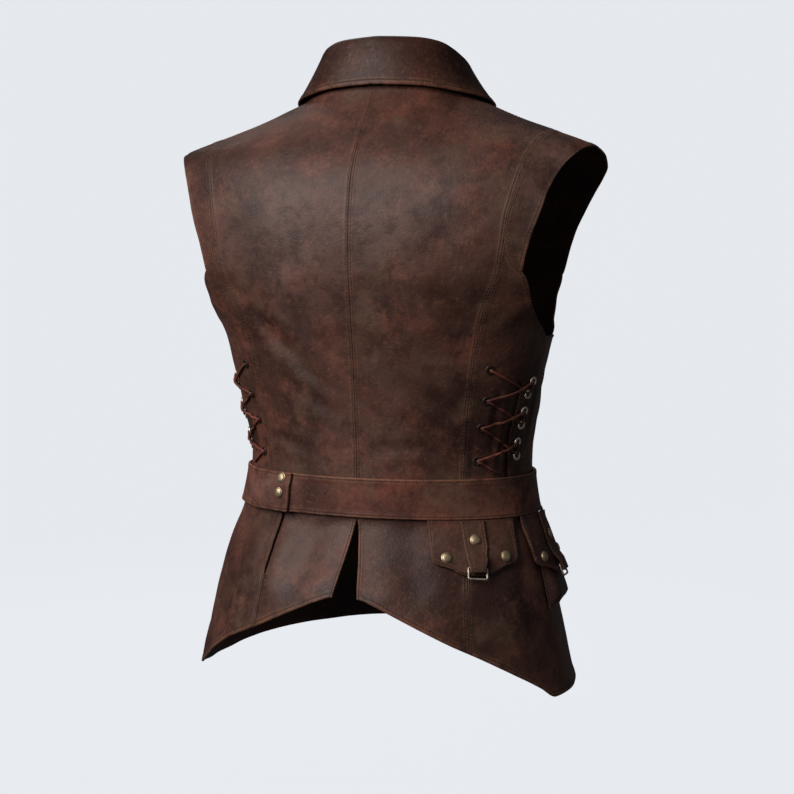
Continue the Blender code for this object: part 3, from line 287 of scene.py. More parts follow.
# Collar stations: neckline turn and height, how far the fold rises and leans in, and the
# place and lift of the fall's edge
COLLAR = np.array([
    (0.0, 0.0140, 0.0425, 0.0085, 0.0, 0.0060, 0.0060),
    (32.0, 0.0129, 0.0420, 0.0105, 34.0, 0.0035, 0.0058),
    (62.0, 0.0082, 0.0430, 0.0160, 65.0, -0.0040, 0.0050),
    (90.0, 0.0000, 0.0415, 0.0175, 88.0, -0.0075, 0.0042),
    (112.0, -0.0050, 0.0355, 0.0135, 108.0, -0.0120, 0.0040),
    (133.0, -0.0120, 0.0225, 0.0140, 131.0, -0.0200, 0.0040),
    (150.0, -0.0240, 0.0175, 0.0095, 146.0, -0.0400, 0.0040),
    (158.0, -0.0370, 0.0150, 0.0060, 154.0, -0.0620, 0.0040),
])
NECK_AXIS_Y = -0.005
COLLAR_LENGTH = 0.46
STAND_WIDTH = 0.035
FALL_WIDTH = 0.062
FALL_TURN_SHARES = [0.0, 0.06, 0.12, 0.18]
FALL_STEPS = 8
STAND_CLEARANCE = (0.0006, 0.0026)
STAND_TOP_DROP = 0.0048
FALL_DROPS = (0.0042, 0.0012)
FOLD = [(0.0028, 0.0006), (0.0055, -0.0012)]
FALL_BULGE = 0.0025
FALL_HOLLOW = -0.0010
FALL_HOLLOW_SHARES = (0.05, 0.40, 0.60, 0.80)
LAPEL_FOLD = [(164.5, -0.0500), (170.3, -0.0750), (174.6, -0.1050), (178.0, -0.1400)]
LAPEL_OUTER = [(150.0, -0.0780), (156.0, -0.1010), (166.0, -0.1250), (176.8, -0.1425)]
LAPEL_STATIONS = 9
LAPEL_GAP_LEFT = 0.0012
LAPEL_GAP_RIGHT = 0.0006
BUTTON_HEIGHTS = (-0.222, -0.283, -0.344)
BUTTON_SPREADS = (0.0450, 0.0430, 0.0410)
BUTTON_RADIUS = 0.0100
BUTTON_HEIGHT = 0.0042
BUTTON_SEGMENTS = 40

# A button's section, from its foot's middle over the rim to its top: shares of radius and height
BUTTON_PROFILE = [
    (0.0, 0.0), (0.86, 0.0), (0.97, 0.18), (1.0, 0.42), (0.97, 0.64), (0.90, 0.76), (0.83, 0.70),
    (0.76, 0.58), (0.66, 0.60), (0.50, 0.78), (0.30, 0.93), (0.12, 0.99), (0.0, 1.0),
]

# Creases laid one by one: the line's places, its width and its depth; a minus depth is a ridge
CREASES = [
    ([(37.0, -0.212), (30.0, -0.235), (20.0, -0.262), (8.0, -0.300)], 0.0090, 0.0026),
    ([(28.0, -0.288), (16.0, -0.305), (4.0, -0.323)], 0.0070, 0.0014),
    ([(41.0, -0.178), (33.0, -0.203), (25.0, -0.236)], 0.0100, 0.0018),
    ([(-18.0, -0.184), (-27.0, -0.209), (-38.5, -0.238)], 0.0100, 0.0024),
    ([(-22.0, -0.252), (-31.0, -0.262), (-41.0, -0.263)], 0.0070, 0.0012),
    ([(-12.0, -0.286), (-24.0, -0.302), (-42.0, -0.315)], 0.0080, 0.0016),
    ([(-3.0, -0.357), (-20.0, -0.350), (-34.0, -0.356)], 0.0060, 0.0011),
    ([(46.0, -0.347), (30.0, -0.350), (16.0, -0.359)], 0.0055, 0.0012),
    ([(-44.0, -0.338), (-47.0, -0.361), (-46.0, -0.379)], 0.0050, 0.0011),
    ([(10.0, -0.345), (14.0, -0.362), (13.0, -0.379)], 0.0050, 0.0010),
    ([(56.0, -0.300), (57.0, -0.330), (56.0, -0.372)], 0.0048, 0.0016),
    ([(60.5, -0.318), (61.0, -0.345), (62.0, -0.374)], 0.0040, 0.0012),
    ([(84.0, -0.298), (83.0, -0.325), (80.0, -0.360)], 0.0055, 0.0014),
    ([(-57.0, -0.292), (-56.0, -0.322), (-57.5, -0.366)], 0.0050, 0.0015),
    ([(-61.5, -0.330), (-62.0, -0.350), (-60.0, -0.376)], 0.0040, 0.0011),
    ([(-85.0, -0.288), (-82.0, -0.318), (-81.0, -0.352)], 0.0055, 0.0013),
    ([(93.0, -0.262), (101.0, -0.292), (112.0, -0.318)], 0.0080, 0.0018),
    ([(-94.0, -0.268), (-103.0, -0.296), (-116.0, -0.325)], 0.0085, 0.0019),
    ([(116.0, -0.245), (132.0, -0.268), (150.0, -0.280)], 0.0090, 0.0020),
    ([(-117.0, -0.249), (-130.0, -0.274), (-147.0, -0.290)], 0.0085, 0.0018),
    ([(128.0, -0.318), (143.0, -0.326), (155.0, -0.339)], 0.0070, 0.0014),
    ([(-126.0, -0.330), (-140.0, -0.331), (-152.0, -0.345)], 0.0065, 0.0013),
    ([(138.0, -0.347), (141.0, -0.362), (139.0, -0.379)], 0.0050, 0.0010),
    ([(-133.0, -0.350), (-131.0, -0.366), (-134.0, -0.379)], 0.0050, 0.0011),
    ([(151.0, -0.190), (158.0, -0.204), (163.0, -0.217)], 0.0070, 0.0013),
    ([(-150.0, -0.186), (-157.0, -0.201), (-163.0, -0.220)], 0.0070, 0.0012),
    ([(14.0, -0.430), (16.0, -0.460), (19.0, -0.510)], 0.0160, 0.0022),
    ([(24.0, -0.440), (27.0, -0.480), (30.0, -0.520)], 0.0110, -0.0014),
    ([(49.0, -0.430), (52.0, -0.480), (58.0, -0.560)], 0.0150, 0.0024),
    ([(70.0, -0.430), (71.0, -0.490), (73.0, -0.590)], 0.0140, -0.0020),
    ([(88.0, -0.430), (88.0, -0.500), (90.0, -0.580)], 0.0170, 0.0028),
    ([(73.0, -0.552), (75.0, -0.590), (76.0, -0.625)], 0.0130, -0.0028),
    ([(126.0, -0.430), (126.0, -0.500), (128.0, -0.580)], 0.0180, 0.0026),
    ([(152.0, -0.430), (153.0, -0.490), (156.0, -0.570)], 0.0150, 0.0018),
    ([(-19.0, -0.430), (-20.0, -0.470), (-24.0, -0.515)], 0.0140, 0.0016),
    ([(-66.0, -0.430), (-68.0, -0.490), (-69.0, -0.575)], 0.0130, 0.0014),
    ([(-80.0, -0.470), (-82.0, -0.520), (-84.0, -0.590)], 0.0150, -0.0012),
    ([(-128.0, -0.430), (-129.0, -0.500), (-131.0, -0.580)], 0.0180, 0.0026),
    ([(-153.0, -0.430), (-153.0, -0.490), (-155.0, -0.570)], 0.0150, 0.0019),
]

# Patches of pale, red and dark dye, the pale ones also painted sheen and the dark ones painted
# shade: the middle's turn and height, half its width in degrees, half its height, and its strength
PATCHES = {
    # Pale dye and painted sheen
    "faded_and_painted_sheen": [
        (11.0, -0.118, 11.0, 0.032, 0.85), (-6.0, -0.132, 8.0, 0.030, 0.65),
        (-19.0, -0.112, 9.0, 0.026, 0.50), (2.0, -0.345, 20.0, 0.024, 0.25),
        (33.0, -0.150, 6.0, 0.030, 0.40), (14.0, -0.178, 11.0, 0.030, 0.55),
        (-46.5, -0.125, 4.0, 0.050, 0.60), (-56.0, -0.070, 8.0, 0.018, 0.80),
        (20.0, -0.470, 8.0, 0.025, 0.35), (46.0, -0.402, 16.0, 0.018, 0.65),
    ],
    "reddened": [
        (24.0, -0.205, 6.0, 0.016, 0.55), (-19.5, -0.165, 7.0, 0.022, 0.45),
        (-30.0, -0.034, 8.0, 0.012, 0.45), (-21.0, -0.230, 6.0, 0.016, 0.45),
        (-15.0, -0.303, 7.0, 0.018, 0.40), (6.0, -0.238, 5.0, 0.022, 0.40),
        (11.0, -0.050, 8.0, 0.014, 0.35),
    ],
    # Dark dye and painted shade, under the collar, below the arms and down the right side
    "darkened": [
        (-4.0, -0.046, 26.0, 0.016, 0.30), (26.0, -0.066, 8.0, 0.014, 0.40),
        (41.0, -0.205, 5.0, 0.026, 0.50), (-27.0, -0.195, 6.0, 0.030, 0.35),
        (-9.0, -0.060, 8.0, 0.014, 0.50), (-10.0, -0.275, 8.0, 0.020, 0.35),
        (-26.0, -0.345, 14.0, 0.024, 0.50), (-16.0, -0.475, 13.0, 0.040, 0.75),
        (-88.0, -0.485, 12.0, 0.045, 0.85), (-80.0, -0.320, 16.0, 0.080, 0.75),
    ],
}
CREASE_RIDGE_SHARE = 0.45
CREASE_RIDGE_PLACE = 1.9
CREASE_FADE = 0.7
WAVES = [(31.0, 17.0, 23.0, 0.4), (19.0, 41.0, 29.0, 2.1), (53.0, 37.0, 61.0, 4.0)]
WAVE_HEIGHT = 0.00022
NECK_CALM = (-0.030, -0.050)
BELT_CALM = (0.001, 0.0120)

# Mesh fineness and rounded edges; a sheet narrower than RING_ROOM times its last ring has its
# rings squeezed, and none counts as narrower than LEAST_WIDTH
CELL = 0.0037
RINGS = np.array([
    0.0, 0.00025, 0.0009, 0.0015, 0.0021, 0.0027, 0.0034, 0.0042, 0.0048, 0.0055, 0.0064, 0.0078,
    0.0105,
])
NARROW_RINGS = np.array([0.0, 0.00025, 0.0009, 0.0016, 0.0022, 0.0027, 0.0033, 0.0042, 0.0056])
ROUND_REACH = 0.0010
SEAM_OVERLAP = 0.0002
ROUND_SHARE = 0.42
SEAM_ROUND_SHARE = 0.45
RING_ROOM = 2.6
LEAST_WIDTH = 0.004

# How far rows of stitches lie from seams, from hems and open edges, and from straps' edges; the
# groove they sink in and the painted shade in it; and how many times that distance a row needs
# across the sheet and from the sheet's other edges
SEAM_STITCH = 0.0027
EDGE_STITCH = 0.0048
STRAP_STITCH = 0.0027
GROOVE_WIDTH = 0.0007
GROOVE_SHADE = 0.65
ROW_ROOM = 2.2
ROW_CLEAR = 0.93

# Turned and worn edges: where past the stitches the turned edge falls away, where the ridge beyond
# them is rubbed and painted with a highlight, how wide a rubbed edge and a seam's painted shade are,
# and a seam's share of wear, what it lacks of full rubbing being painted shade
TURNED_EDGE_FALL = (0.0006, 0.0034)
RUB_AND_HIGHLIGHT_PAST_GROOVE = 0.0015
RUB_AND_HIGHLIGHT_WIDTH = 0.0008
EDGE_WEAR_WIDTH = 0.0014
SEAM_SHADE_WIDTH = 0.0010
SEAM_WEAR = 0.3

# A stitch's sections: the share of the way along it, its width, and how high it arches; how
# many sides they have; and how far the thread is lifted off the leather
STITCH_SECTIONS = [
    (-0.50, 0.35, -0.9), (-0.36, 0.9, -0.1), (0.0, 1.0, 0.25), (0.36, 0.9, -0.1), (0.50, 0.35, -0.9),
]
STITCH_SIDES = 5
THREAD_RISE = 0.0001

# Stage: the floor's radius, the radius of its curve up, the backdrop's height, and the steps of
# the curve and segments of the round
FLOOR_RADIUS = 2.4
FLOOR_CURVE = 2.6
BACKDROP_HEIGHT = 6.0
CURVE_STEPS = 18
STAGE_SEGMENTS = 96

# Lights: how far left, back and up from their target, size, which power and what share of it,
# and colour
LIGHT_TARGET = (0.0, 0.0, -0.30)
LIGHT_AXES = ((0.94, 0.34, 0.0), (-0.34, 0.94, 0.0), (0.0, 0.0, 1.0))
LIGHTS = {
    "main_light": ((1.5, 1.25, 1.15), 1.5, "key_power", 1.0, (1.0, 0.96, 0.94)),
    "second_light": ((-1.6, 1.6, 0.6), 1.5, "fill_power", 1.0, (0.96, 0.98, 1.0)),
    "front_light": ((0.4, -2.1, 0.9), 1.8, "key_power", 0.7, (1.0, 0.98, 0.96)),
    "front_gloss_light": ((0.5, -1.5, 2.1), 1.3, "key_power", 0.12, (1.0, 0.98, 0.96)),
}
SKY_COLOUR = (0.95, 0.97, 1.0, 1.0)

# Camera: degrees past straight behind and above level, how far it is from a point near the
# vest's middle, and how far to the right of that point it stands
CAMERA_TURN = 20.0
CAMERA_RISE = 5.3
CAMERA_DISTANCE = 1.62
CAMERA_LENS = 70.0
CAMERA_SENSOR = 36.0
CAMERA_AIM = (0.0, 0.0, -0.31)
CAMERA_RIGHT = 0.0084

SIDES = ("low", "high", "left", "right")
WEARER_SIDES = ((1, "left"), (-1, "right"))


def read(keys, values, at):
    """Read rows of values at any place between their keys, smoothly and without overshoot."""
    keys, values, at = np.asarray(keys, float), np.asarray(values, float), np.asarray(at, float)
    tail = (1,) * (values.ndim - 1)
    gaps = np.diff(keys)
    slopes = np.diff(values, axis=0) / gaps.reshape((-1, *tail))
    product, total = slopes[:-1] * slopes[1:], slopes[:-1] + slopes[1:]
    middle = np.where(product > 0.0, 2.0 * product / np.where(total == 0.0, 1.0, total), 0.0)
    tangents = np.concatenate([slopes[:1], middle, slopes[-1:]])
    at = np.clip(at, keys[0], keys[-1])
    k = np.clip(np.searchsorted(keys, at, side="right") - 1, 0, len(keys) - 2)
    span = gaps[k].reshape((*at.shape, *tail))
    t = (at - keys[k]).reshape((*at.shape, *tail)) / span
    return (
        (2 * t**3 - 3 * t**2 + 1) * values[k]
        + (t**3 - 2 * t**2 + t) * tangents[k] * span
        + (3 * t**2 - 2 * t**3) * values[k + 1]
        + (t**3 - t**2) * tangents[k + 1] * span
    )


def column(table, number, at):
    return read(table[:, 0], table[:, number], at)


def soft_back(z):
    """The centre back's depth, with its bend over the shoulder blades made soft."""
    plain = column(LEVELS, 2, z)
    soft = sum(share * column(LEVELS, 2, z + away) for away, share in YOKE_SOFTENING)
    return blend(plain, soft, ramp(z, *YOKE_SOFT_FROM) * ramp(z, *YOKE_SOFT_TO))


def blend(a, b, t):
    return a + (b - a) * t


def ramp(at, start, end):
    """0 before start, 1 after end, and a soft step between."""
    t = np.clip((at - start) / (end - start), 0.0, 1.0)
    return t * t * (3.0 - 2.0 * t)


def bell(at, middle, width):
    """1 at the middle, and softly 0 a few widths away."""
    return np.exp(-(((at - middle) / width) ** 2))


def unit(vectors):
    return vectors / np.maximum(np.linalg.norm(vectors, axis=-1, keepdims=True), 1e-12)


def on_form(turn, z):
    """Points of the form at places."""
    turn, z = np.broadcast_arrays(np.asarray(turn, float), np.asarray(z, float))
    half_width, front, middle, square = (column(LEVELS, k, z) for k in (1, 3, 4, 5))
    back = soft_back(z)
    sine, cosine = np.sin(np.radians(turn)), np.cos(np.radians(turn))
    depth = np.where(cosine > 0.0, back - middle, middle - front)
    power = 2.0 / square
    x = half_width * np.sign(sine) * np.abs(sine) ** power
    y = middle + depth * np.sign(cosine) * np.abs(cosine) ** power
    return np.stack([x, y, z], -1)


def steps(turn, z):
    """How the form's point moves for each degree of turn and each metre of height."""
    small_turn, small_z = 0.6, 0.002
    along_turn = (on_form(turn + small_turn, z) - on_form(turn - small_turn, z)) / (2 * small_turn)
    along_z = (on_form(turn, z + small_z) - on_form(turn, z - small_z)) / (2 * small_z)
    return along_turn, along_z


def outward(turn, z):
    along_turn, along_z = steps(turn, z)
    return unit(np.cross(along_z, along_turn))


def from_line(turn, z, places):
    """How far places lie from a line, in metres, and the share of the way along it."""
    nearest, share = np.full(np.shape(turn), 9.0), np.zeros(np.shape(turn))
    for k, (start, end) in enumerate(zip(places, places[1:])):
        run = np.array([(end[0] - start[0]) * METRES_PER_DEGREE, end[1] - start[1]])
        round_way = (turn - start[0] + 180.0) % 360.0 - 180.0
        away = np.stack([round_way * METRES_PER_DEGREE, z - start[1]], -1)
        t = np.clip(away @ run / (run @ run), 0.0, 1.0)
        distance = np.linalg.norm(away - t[..., None] * run, axis=-1)
        nearer = distance < nearest
        nearest = np.where(nearer, distance, nearest)
        share = np.where(nearer, (k + t) / (len(places) - 1), share)
    return nearest, share


def creases(turn, z):
    """Height of the soft creases and of the leather's slight unevenness."""
    total = np.zeros(np.shape(turn))
    for places, width, depth in CREASES:
        distance, share = from_line(turn, z, places)
        across = distance / width
        beside = CREASE_RIDGE_SHARE * bell(across, CREASE_RIDGE_PLACE, 1.0)
        total -= depth * np.sin(np.pi * share) ** CREASE_FADE * (bell(across, 0.0, 1.0) - beside)
    along = np.asarray(turn) * METRES_PER_DEGREE
    for across_rate, up_rate, mixed_rate, start in WAVES:
        wave = np.sin(along * across_rate * 3 + start) * np.sin(z * up_rate * 3 + 2 * start)
        total += WAVE_HEIGHT * (wave + 0.5 * np.sin((along + z) * mixed_rate * 3 + start))
    off_belt = np.maximum(z - BELT_TOP, BELT_BOTTOM - z)
    return total * ramp(off_belt, *BELT_CALM) * ramp(z, *NECK_CALM)


def patches(kind, turn, z):
    """Strength of one kind of patch at places."""
    clear = np.ones(np.shape(turn))
    for middle, height, half_turn, half_height, strength in PATCHES[kind]:
        across = ((turn - middle + 180.0) % 360.0 - 180.0) / half_turn
        clear = clear * (1.0 - strength * np.exp(-(across**2) - ((z - height) / half_height) ** 2))
    return 1.0 - clear


def skin(turn, z, lift=0.0):
    """Points at places, moved out of the form by the lift and by the creases there."""
    turn, z = np.broadcast_arrays(np.asarray(turn, float), np.asarray(z, float))
    rise = np.asarray(lift) + creases(turn, z)
    return on_form(turn, z) + outward(turn, z) * rise[..., None]


def turn_at(half_width, z):
    """The turn at which the back of the form is this far from the middle."""
    share = np.minimum(half_width / column(LEVELS, 1, z), 1.0)
    return np.degrees(np.arcsin(share ** (column(LEVELS, 5, z) / 2.0)))


def curve(places, count):
    """Even places along a smooth curve through a few places."""
    ends = np.array([places[0], *places, places[-1]], float)
    t = np.linspace(0.0, 1.0, 24, endpoint=False)[:, None]
    parts = []
    for a, b, c, d in zip(ends, ends[1:], ends[2:], ends[3:]):
        parts.append(
            (-0.5 * t**3 + t**2 - 0.5 * t) * a
            + (1.5 * t**3 - 2.5 * t**2 + 1.0) * b
            + (-1.5 * t**3 + 2.0 * t**2 + 0.5 * t) * c
            + (0.5 * t**3 - 0.5 * t**2) * d
        )
    fine = np.concatenate([*parts, ends[-1:]])
    reach = path_reach(fine * np.array([METRES_PER_DEGREE, 1.0]))
    targets = np.linspace(0.0, reach[-1], count)
    return np.stack([np.interp(targets, reach, values) for values in fine.T], -1)


def path_reach(points):
    """Distance along a path at each of its points."""
    return np.concatenate([[0.0], np.cumsum(np.linalg.norm(np.diff(points, axis=0), axis=-1))])


def hem_z(turn):
    return column(HEM, 1, np.abs(turn))


def inset(edge, facing, gap=-SEAM_OVERLAP):
    """An edge moved a little past its seam, away from the edge that faces it."""
    scale = np.stack([np.linalg.norm(step, axis=-1) for step in steps(*edge.T)], -1)
    longer = np.concatenate([edge[:1], edge, edge[-1:]])
    run = (longer[2:] - longer[:-2]) * scale
    square = unit(np.stack([-run[:, 1], run[:, 0]], -1))
    towards = (facing - edge) * scale
    sign = np.sign(np.sum(square * towards, axis=-1))
    return edge + square * (gap * sign)[:, None] / scale


def skirt_heights(low):
    """Heights of the skirt's rows over a hem height; the rows lie closer below the belt."""
    down = 1.0 - np.arange(SKIRT_ROWS) / (SKIRT_ROWS - 1)
    return blend(BELT_BOTTOM, np.asarray(low)[..., None], down**SKIRT_SPACING)


def heights(*stops):
    """Even heights through stops, each given as (height, rows up to the next stop)."""
    result = []
    for (low, rows), (high, _) in zip(stops, stops[1:]):
        result += [blend(low, high, k / rows) for k in range(rows)]
    return result + [stops[-1][0]]


def front_edge_turn(z):
    """Where a front's edge lies past the centre front, below the V."""
    return blend(FRONT_LAP_TURN, FRONT_LAP_HEM_TURN, ramp(z, *FRONT_EDGE_SPREAD))


def front_lap(turn, z):
    """How far the left front stands out where it crosses over the right front."""
    under_edge = 360.0 - front_edge_turn(z)
    reach = ramp(turn, under_edge - FRONT_LAP_FADE_TURN, under_edge - FRONT_LAP_REST_TURN)
    return FRONT_LAP_LIFT * reach * ramp(z, *FRONT_LAP_START)


def skirt_lap(turn, z):
    """How far the left side panel stands out where it laps over the back panel."""
    flatter = ramp(z, *LAP_FLATTER)
    pressed = LAP_PRESSED_SHARE * (1.0 - ramp(turn, *LAP_PRESSED))
    lifted = LAP_LIFT * ramp(z, *LAP_START) * (1.0 - LAP_FLAT_SHARE * flatter)
    return lifted * (1.0 - pressed * flatter) * (1.0 - ramp(turn, *LAP_FADE))


def body_surface(turn, z):
    """Lift of the outermost panel's face at a place."""
    around = np.asarray(turn) % 360.0
    over_edge = front_edge_turn(z)
    behind = LAP_LIFT * ramp(z, *LAP_START) * ramp(around, *LAP_COVER)
    left = np.maximum(front_lap(around, z), skirt_lap(around, z))
    right = FRONT_LAP_LIFT * (1.0 - ramp(around, *(over_edge + turns for turns in FRONT_LAP_STEP)))
    return np.where(around < LAP_TURN, behind, np.where(around < 180.0, left, right))


def lap_back(edge, turn):
    """A back seam's edge, moved to another turn below the start of the skirt's lap."""
    moved = edge.copy()
    moved[:, 0] = blend(edge[:, 0], turn, ramp(edge[:, 1], *LAP_SPREAD))
    return moved


def back_seam_edge():
    """The seam between back and side panels, from the hem up to the shoulder."""
    low = hem_z(turn_at(column(BACK_SEAM, 1, BACK_SEAM_HEM_Z), BACK_SEAM_HEM_Z))
    stops = (
        (BELT_LINE_Z, BODY_ROWS),
        (UNDERARM_Z, UNDERARM_ROWS),
        (BAND_APEX_Z, YOKE_ROWS),
        (SHOULDER_SEAM_OUTER_Z, 0),
    )
    z = np.array([*skirt_heights(low), *heights(*stops)])
    return np.stack([turn_at(column(BACK_SEAM, 1, z), z), z], -1)


def centre_edge():
    """The centre back with its vent, then the neckline round to the shoulder."""
    hem = hem_z(VENT_HEM_TURN)
    stops = (
        (BELT_LINE_Z, BODY_ROWS),
        (UNDERARM_Z, UNDERARM_ROWS),
        (BAND_APEX_Z, CENTRE_YOKE_ROWS),
        (NECK_BACK, 0),
    )
    z = np.array([*skirt_heights(hem), *heights(*stops)])
    half_opening = VENT_HALF_WIDTH * np.maximum(VENT_TOP - z, 0.0) / (VENT_TOP - hem)
    edge = np.stack([turn_at(half_opening, z), z], -1)
    return np.concatenate([edge, curve(NECKLINE_BACK, YOKE_ROWS - CENTRE_YOKE_ROWS + 1)[1:]])


def line_of(turn, z):
    """Places of a line along which the turn or the height stays the same."""
    return np.stack(np.broadcast_arrays(turn, z), -1)


def side_seam_edge():
    """The side seam from the hem to the armhole."""
    stops = ((BELT_LINE_Z, BODY_ROWS), (UNDERARM_Z, 0))
    return line_of(SIDE_SEAM_TURN, [*skirt_heights(hem_z(SIDE_SEAM_TURN)), *heights(*stops)])


def front_edge():
    """A front's edge from the hem up, then the V and the neckline round to the shoulder."""
    stops = ((BELT_LINE_Z, BODY_ROWS), (NECKLINE_FRONT[0][1], 0))
    z = np.array([*skirt_heights(hem_z(FRONT_LAP_HEM_TURN)), *heights(*stops)])
    edge = np.stack([front_edge_turn(z), z], -1)
    neckline = curve(NECKLINE_FRONT, FRONT_UNDERARM_ROWS + BAND_FRONT_ROWS + 1)[1:]
    return np.concatenate([edge, neckline])


def off_ridge(edge, side_of_ridge):
    """An edge kept clear of the shoulder ridge, on one side of it."""
    limit = RIDGE_TURN + side_of_ridge * RIDGE_GAP_TURN
    pick = np.maximum if side_of_ridge > 0 else np.minimum
    return np.stack([pick(edge[:, 0], limit), edge[:, 1]], -1)


def walk(turn, z, across):
    """The turn reached from another by going so many metres round the form."""
    turn = np.asarray(turn, float)
    for _ in range(WALK_STEPS):
        turn = turn + across / WALK_STEPS / np.linalg.norm(steps(turn, z)[0], axis=-1)
    return turn


def ring_shares(width, rings=RINGS):
    """Shares across widths: rings close to both edges, and even cells between them."""
    width = np.atleast_1d(np.asarray(width, float))[:, None]
    squeeze = np.minimum(1.0, width / (RING_ROOM * rings[-1]))
    near = rings * squeeze / width
    middle = max(int(math.ceil((width.max() - 2 * rings[-1]) / CELL)), 2)
    between = np.linspace(0.0, 1.0, middle + 1)[1:-1]
    first, last = near[:, -1:], 1.0 - near[:, -1:]
    return np.concatenate([near, blend(first, last, between), 1.0 - near[:, ::-1]], axis=1)


def fine_rows(left, right):
    """The two edges of a panel read at fine rows, with rings close to its ends."""
    points = [on_form(*left.T), on_form(*right.T)]
    gaps = np.max([np.linalg.norm(np.diff(p, axis=0), axis=-1) for p in points], axis=0)
    reach = np.concatenate([[0.0], np.cumsum(gaps)])
    keys = np.arange(len(reach))
    at = np.interp(ring_shares(reach[-1])[0] * reach[-1], reach, keys)
    return read(keys, left, at), read(keys, right, at)


def widths(left, right):
    return np.maximum(np.linalg.norm(on_form(*left.T) - on_form(*right.T), axis=-1), LEAST_WIDTH)


def across_from(left, right, rings=RINGS):
    """Places across from one edge to the other at each of their rows."""
    shares = ring_shares(widths(left, right), rings)
    return blend(left[:, None], right[:, None], shares[..., None])


def ruled(left, right, rings=RINGS):
    """Fine rows of places between two edges."""
    return across_from(*fine_rows(left, right), rings)


def to_hem(places):
    """Places below the belt spread down to the hem's own height."""
    turn, z = places[..., 0], places[..., 1]
    down = np.clip((BELT_BOTTOM - z) / (BELT_BOTTOM - z[:1]), 0.0, 1.0)
    places[..., 1] = np.where(z < BELT_BOTTOM, blend(BELT_BOTTOM, hem_z(turn), down), z)
    return places


def grid_reach(points, axis):
    """Distance along a grid of points from its first row or column."""
    step = np.linalg.norm(np.diff(points, axis=axis), axis=-1)
    start = np.zeros_like(np.take(step, [0], axis=axis))
    return np.concatenate([start, np.cumsum(step, axis=axis)], axis=axis)


def edge_distances(points):
    """Distances from a grid's low, high, left and right edges."""
    up, across = grid_reach(points, 0), grid_reach(points, 1)
    return dict(zip(SIDES, (up, up[-1:] - up, across, across[:, -1:] - across)))


def add_mesh(name, vertices, faces, material, values=None):
    """A mesh object with its faces turned out, smooth, and holding values for its material."""
    mesh = bpy.data.meshes.new(name)
    mesh.from_pydata(np.asarray(vertices).tolist(), [], faces)
    bm = bmesh.new()
    bm.from_mesh(mesh)
    bmesh.ops.recalc_face_normals(bm, faces=bm.faces)
    bm.to_mesh(mesh)
    bm.free()
    mesh.shade_smooth()
    mesh.materials.append(material)
    for key, array in (values or {}).items():
        layer = mesh.attributes.new(key, "FLOAT", "POINT")
        layer.data.foreach_set("value", np.asarray(array, np.float32).ravel())
    item = bpy.data.objects.new(name, mesh)
    bpy.context.scene.collection.objects.link(item)
    return item


def wall_faces(rows, columns, is_open=None):
    """Faces of a closed wall: outer vertices come first, inner ones after them."""
    count = rows * columns
    kept = np.ones((rows - 1, columns - 1), bool)
    if is_open is not None:
        kept &= ~is_open
    faces = []
    for i, j in zip(*np.nonzero(kept)):
        a = int(i * columns + j)
        b, c, d = a + 1, a + columns + 1, a + columns
        faces.append((a, b, c, d))
        faces.append((a + count, d + count, c + count, b + count))
        if i == 0 or not kept[i - 1, j]:
            faces.append((b, a, a + count, b + count))
        if i == rows - 2 or not kept[i + 1, j]:
            faces.append((d, c, c + count, d + count))
        if j == 0 or not kept[i, j - 1]:
            faces.append((a, d, d + count, a + count))
        if j == columns - 2 or not kept[i, j + 1]:
            faces.append((c, b, b + count, c + count))
    return faces


def tube_faces(rings, sides, closed=False, capped=False):
    """Faces between rings of points that follow each other."""
    faces = []
    for s in range(rings if closed else rings - 1):
        t = (s + 1) % rings
        for k in range(sides):
            n = (k + 1) % sides
            faces.append((s * sides + k, s * sides + n, t * sides + n, t * sides + k))
    if capped:
        faces += [tuple(range(sides))[::-1], tuple(range((rings - 1) * sides, rings * sides))]
    return faces


def rounded(distance, thickness):
    """How far a wall's face falls away close to its edge."""
    share = np.clip(1.0 - distance / ROUND_REACH, 0.0, 1.0)
    return thickness * ROUND_SHARE * (1.0 - np.sqrt(1.0 - share**2))


class Thread:
    """The stitches of one piece, gathered before they are made into one mesh."""

    def __init__(self):
        self.middles, self.alongs, self.outs = [], [], []

    def line(self, points, outs, pitch, length):
        """Stitches at an even pitch along a line of points."""
        if len(points) < 2:
            return
        reach = path_reach(points)
        count = int(reach[-1] / pitch + 0.01)
        if count < 1:
            return
        starts = (np.arange(count) + 0.5) * reach[-1] / count
        near, far = (
            np.stack([np.interp(starts + away, reach, v) for v in points.T], -1)
            for away in (-length / 2, length / 2)
        )
        self.middles.append((near + far) / 2)
        self.alongs.append(far - near)
        self.outs.append(np.stack([np.interp(starts, reach, v) for v in outs.T], -1))

    def single(self, points, outs):
        """One stitch between two points."""
        reach = path_reach(points)[-1]
        self.line(points, outs, reach, reach)

    def make(self, name, radius, material):
        """One mesh of all the stitches, each a short arched capsule."""
        middles, alongs, outs = (np.concatenate(x) for x in (self.middles, self.alongs, self.outs))
        outs = unit(outs)
        sides = unit(np.cross(alongs, outs))
        rings = []
        for along, wide, high in STITCH_SECTIONS:
            for k in range(STITCH_SIDES):
                angle = 2 * math.pi * k / STITCH_SIDES
                across = radius * wide * math.cos(angle)
                up = radius * (wide * math.sin(angle) + high) + THREAD_RISE
                rings.append(middles + alongs * along + sides * across + outs * up)
        vertices = np.stack(rings, 1)
        template = tube_faces(len(STITCH_SECTIONS), STITCH_SIDES, capped=True)
        faces = [
            tuple(v + s * len(rings) for v in face) for s in range(len(vertices)) for face in template
        ]
        return add_mesh(name, vertices.reshape(-1, 3), faces, material)


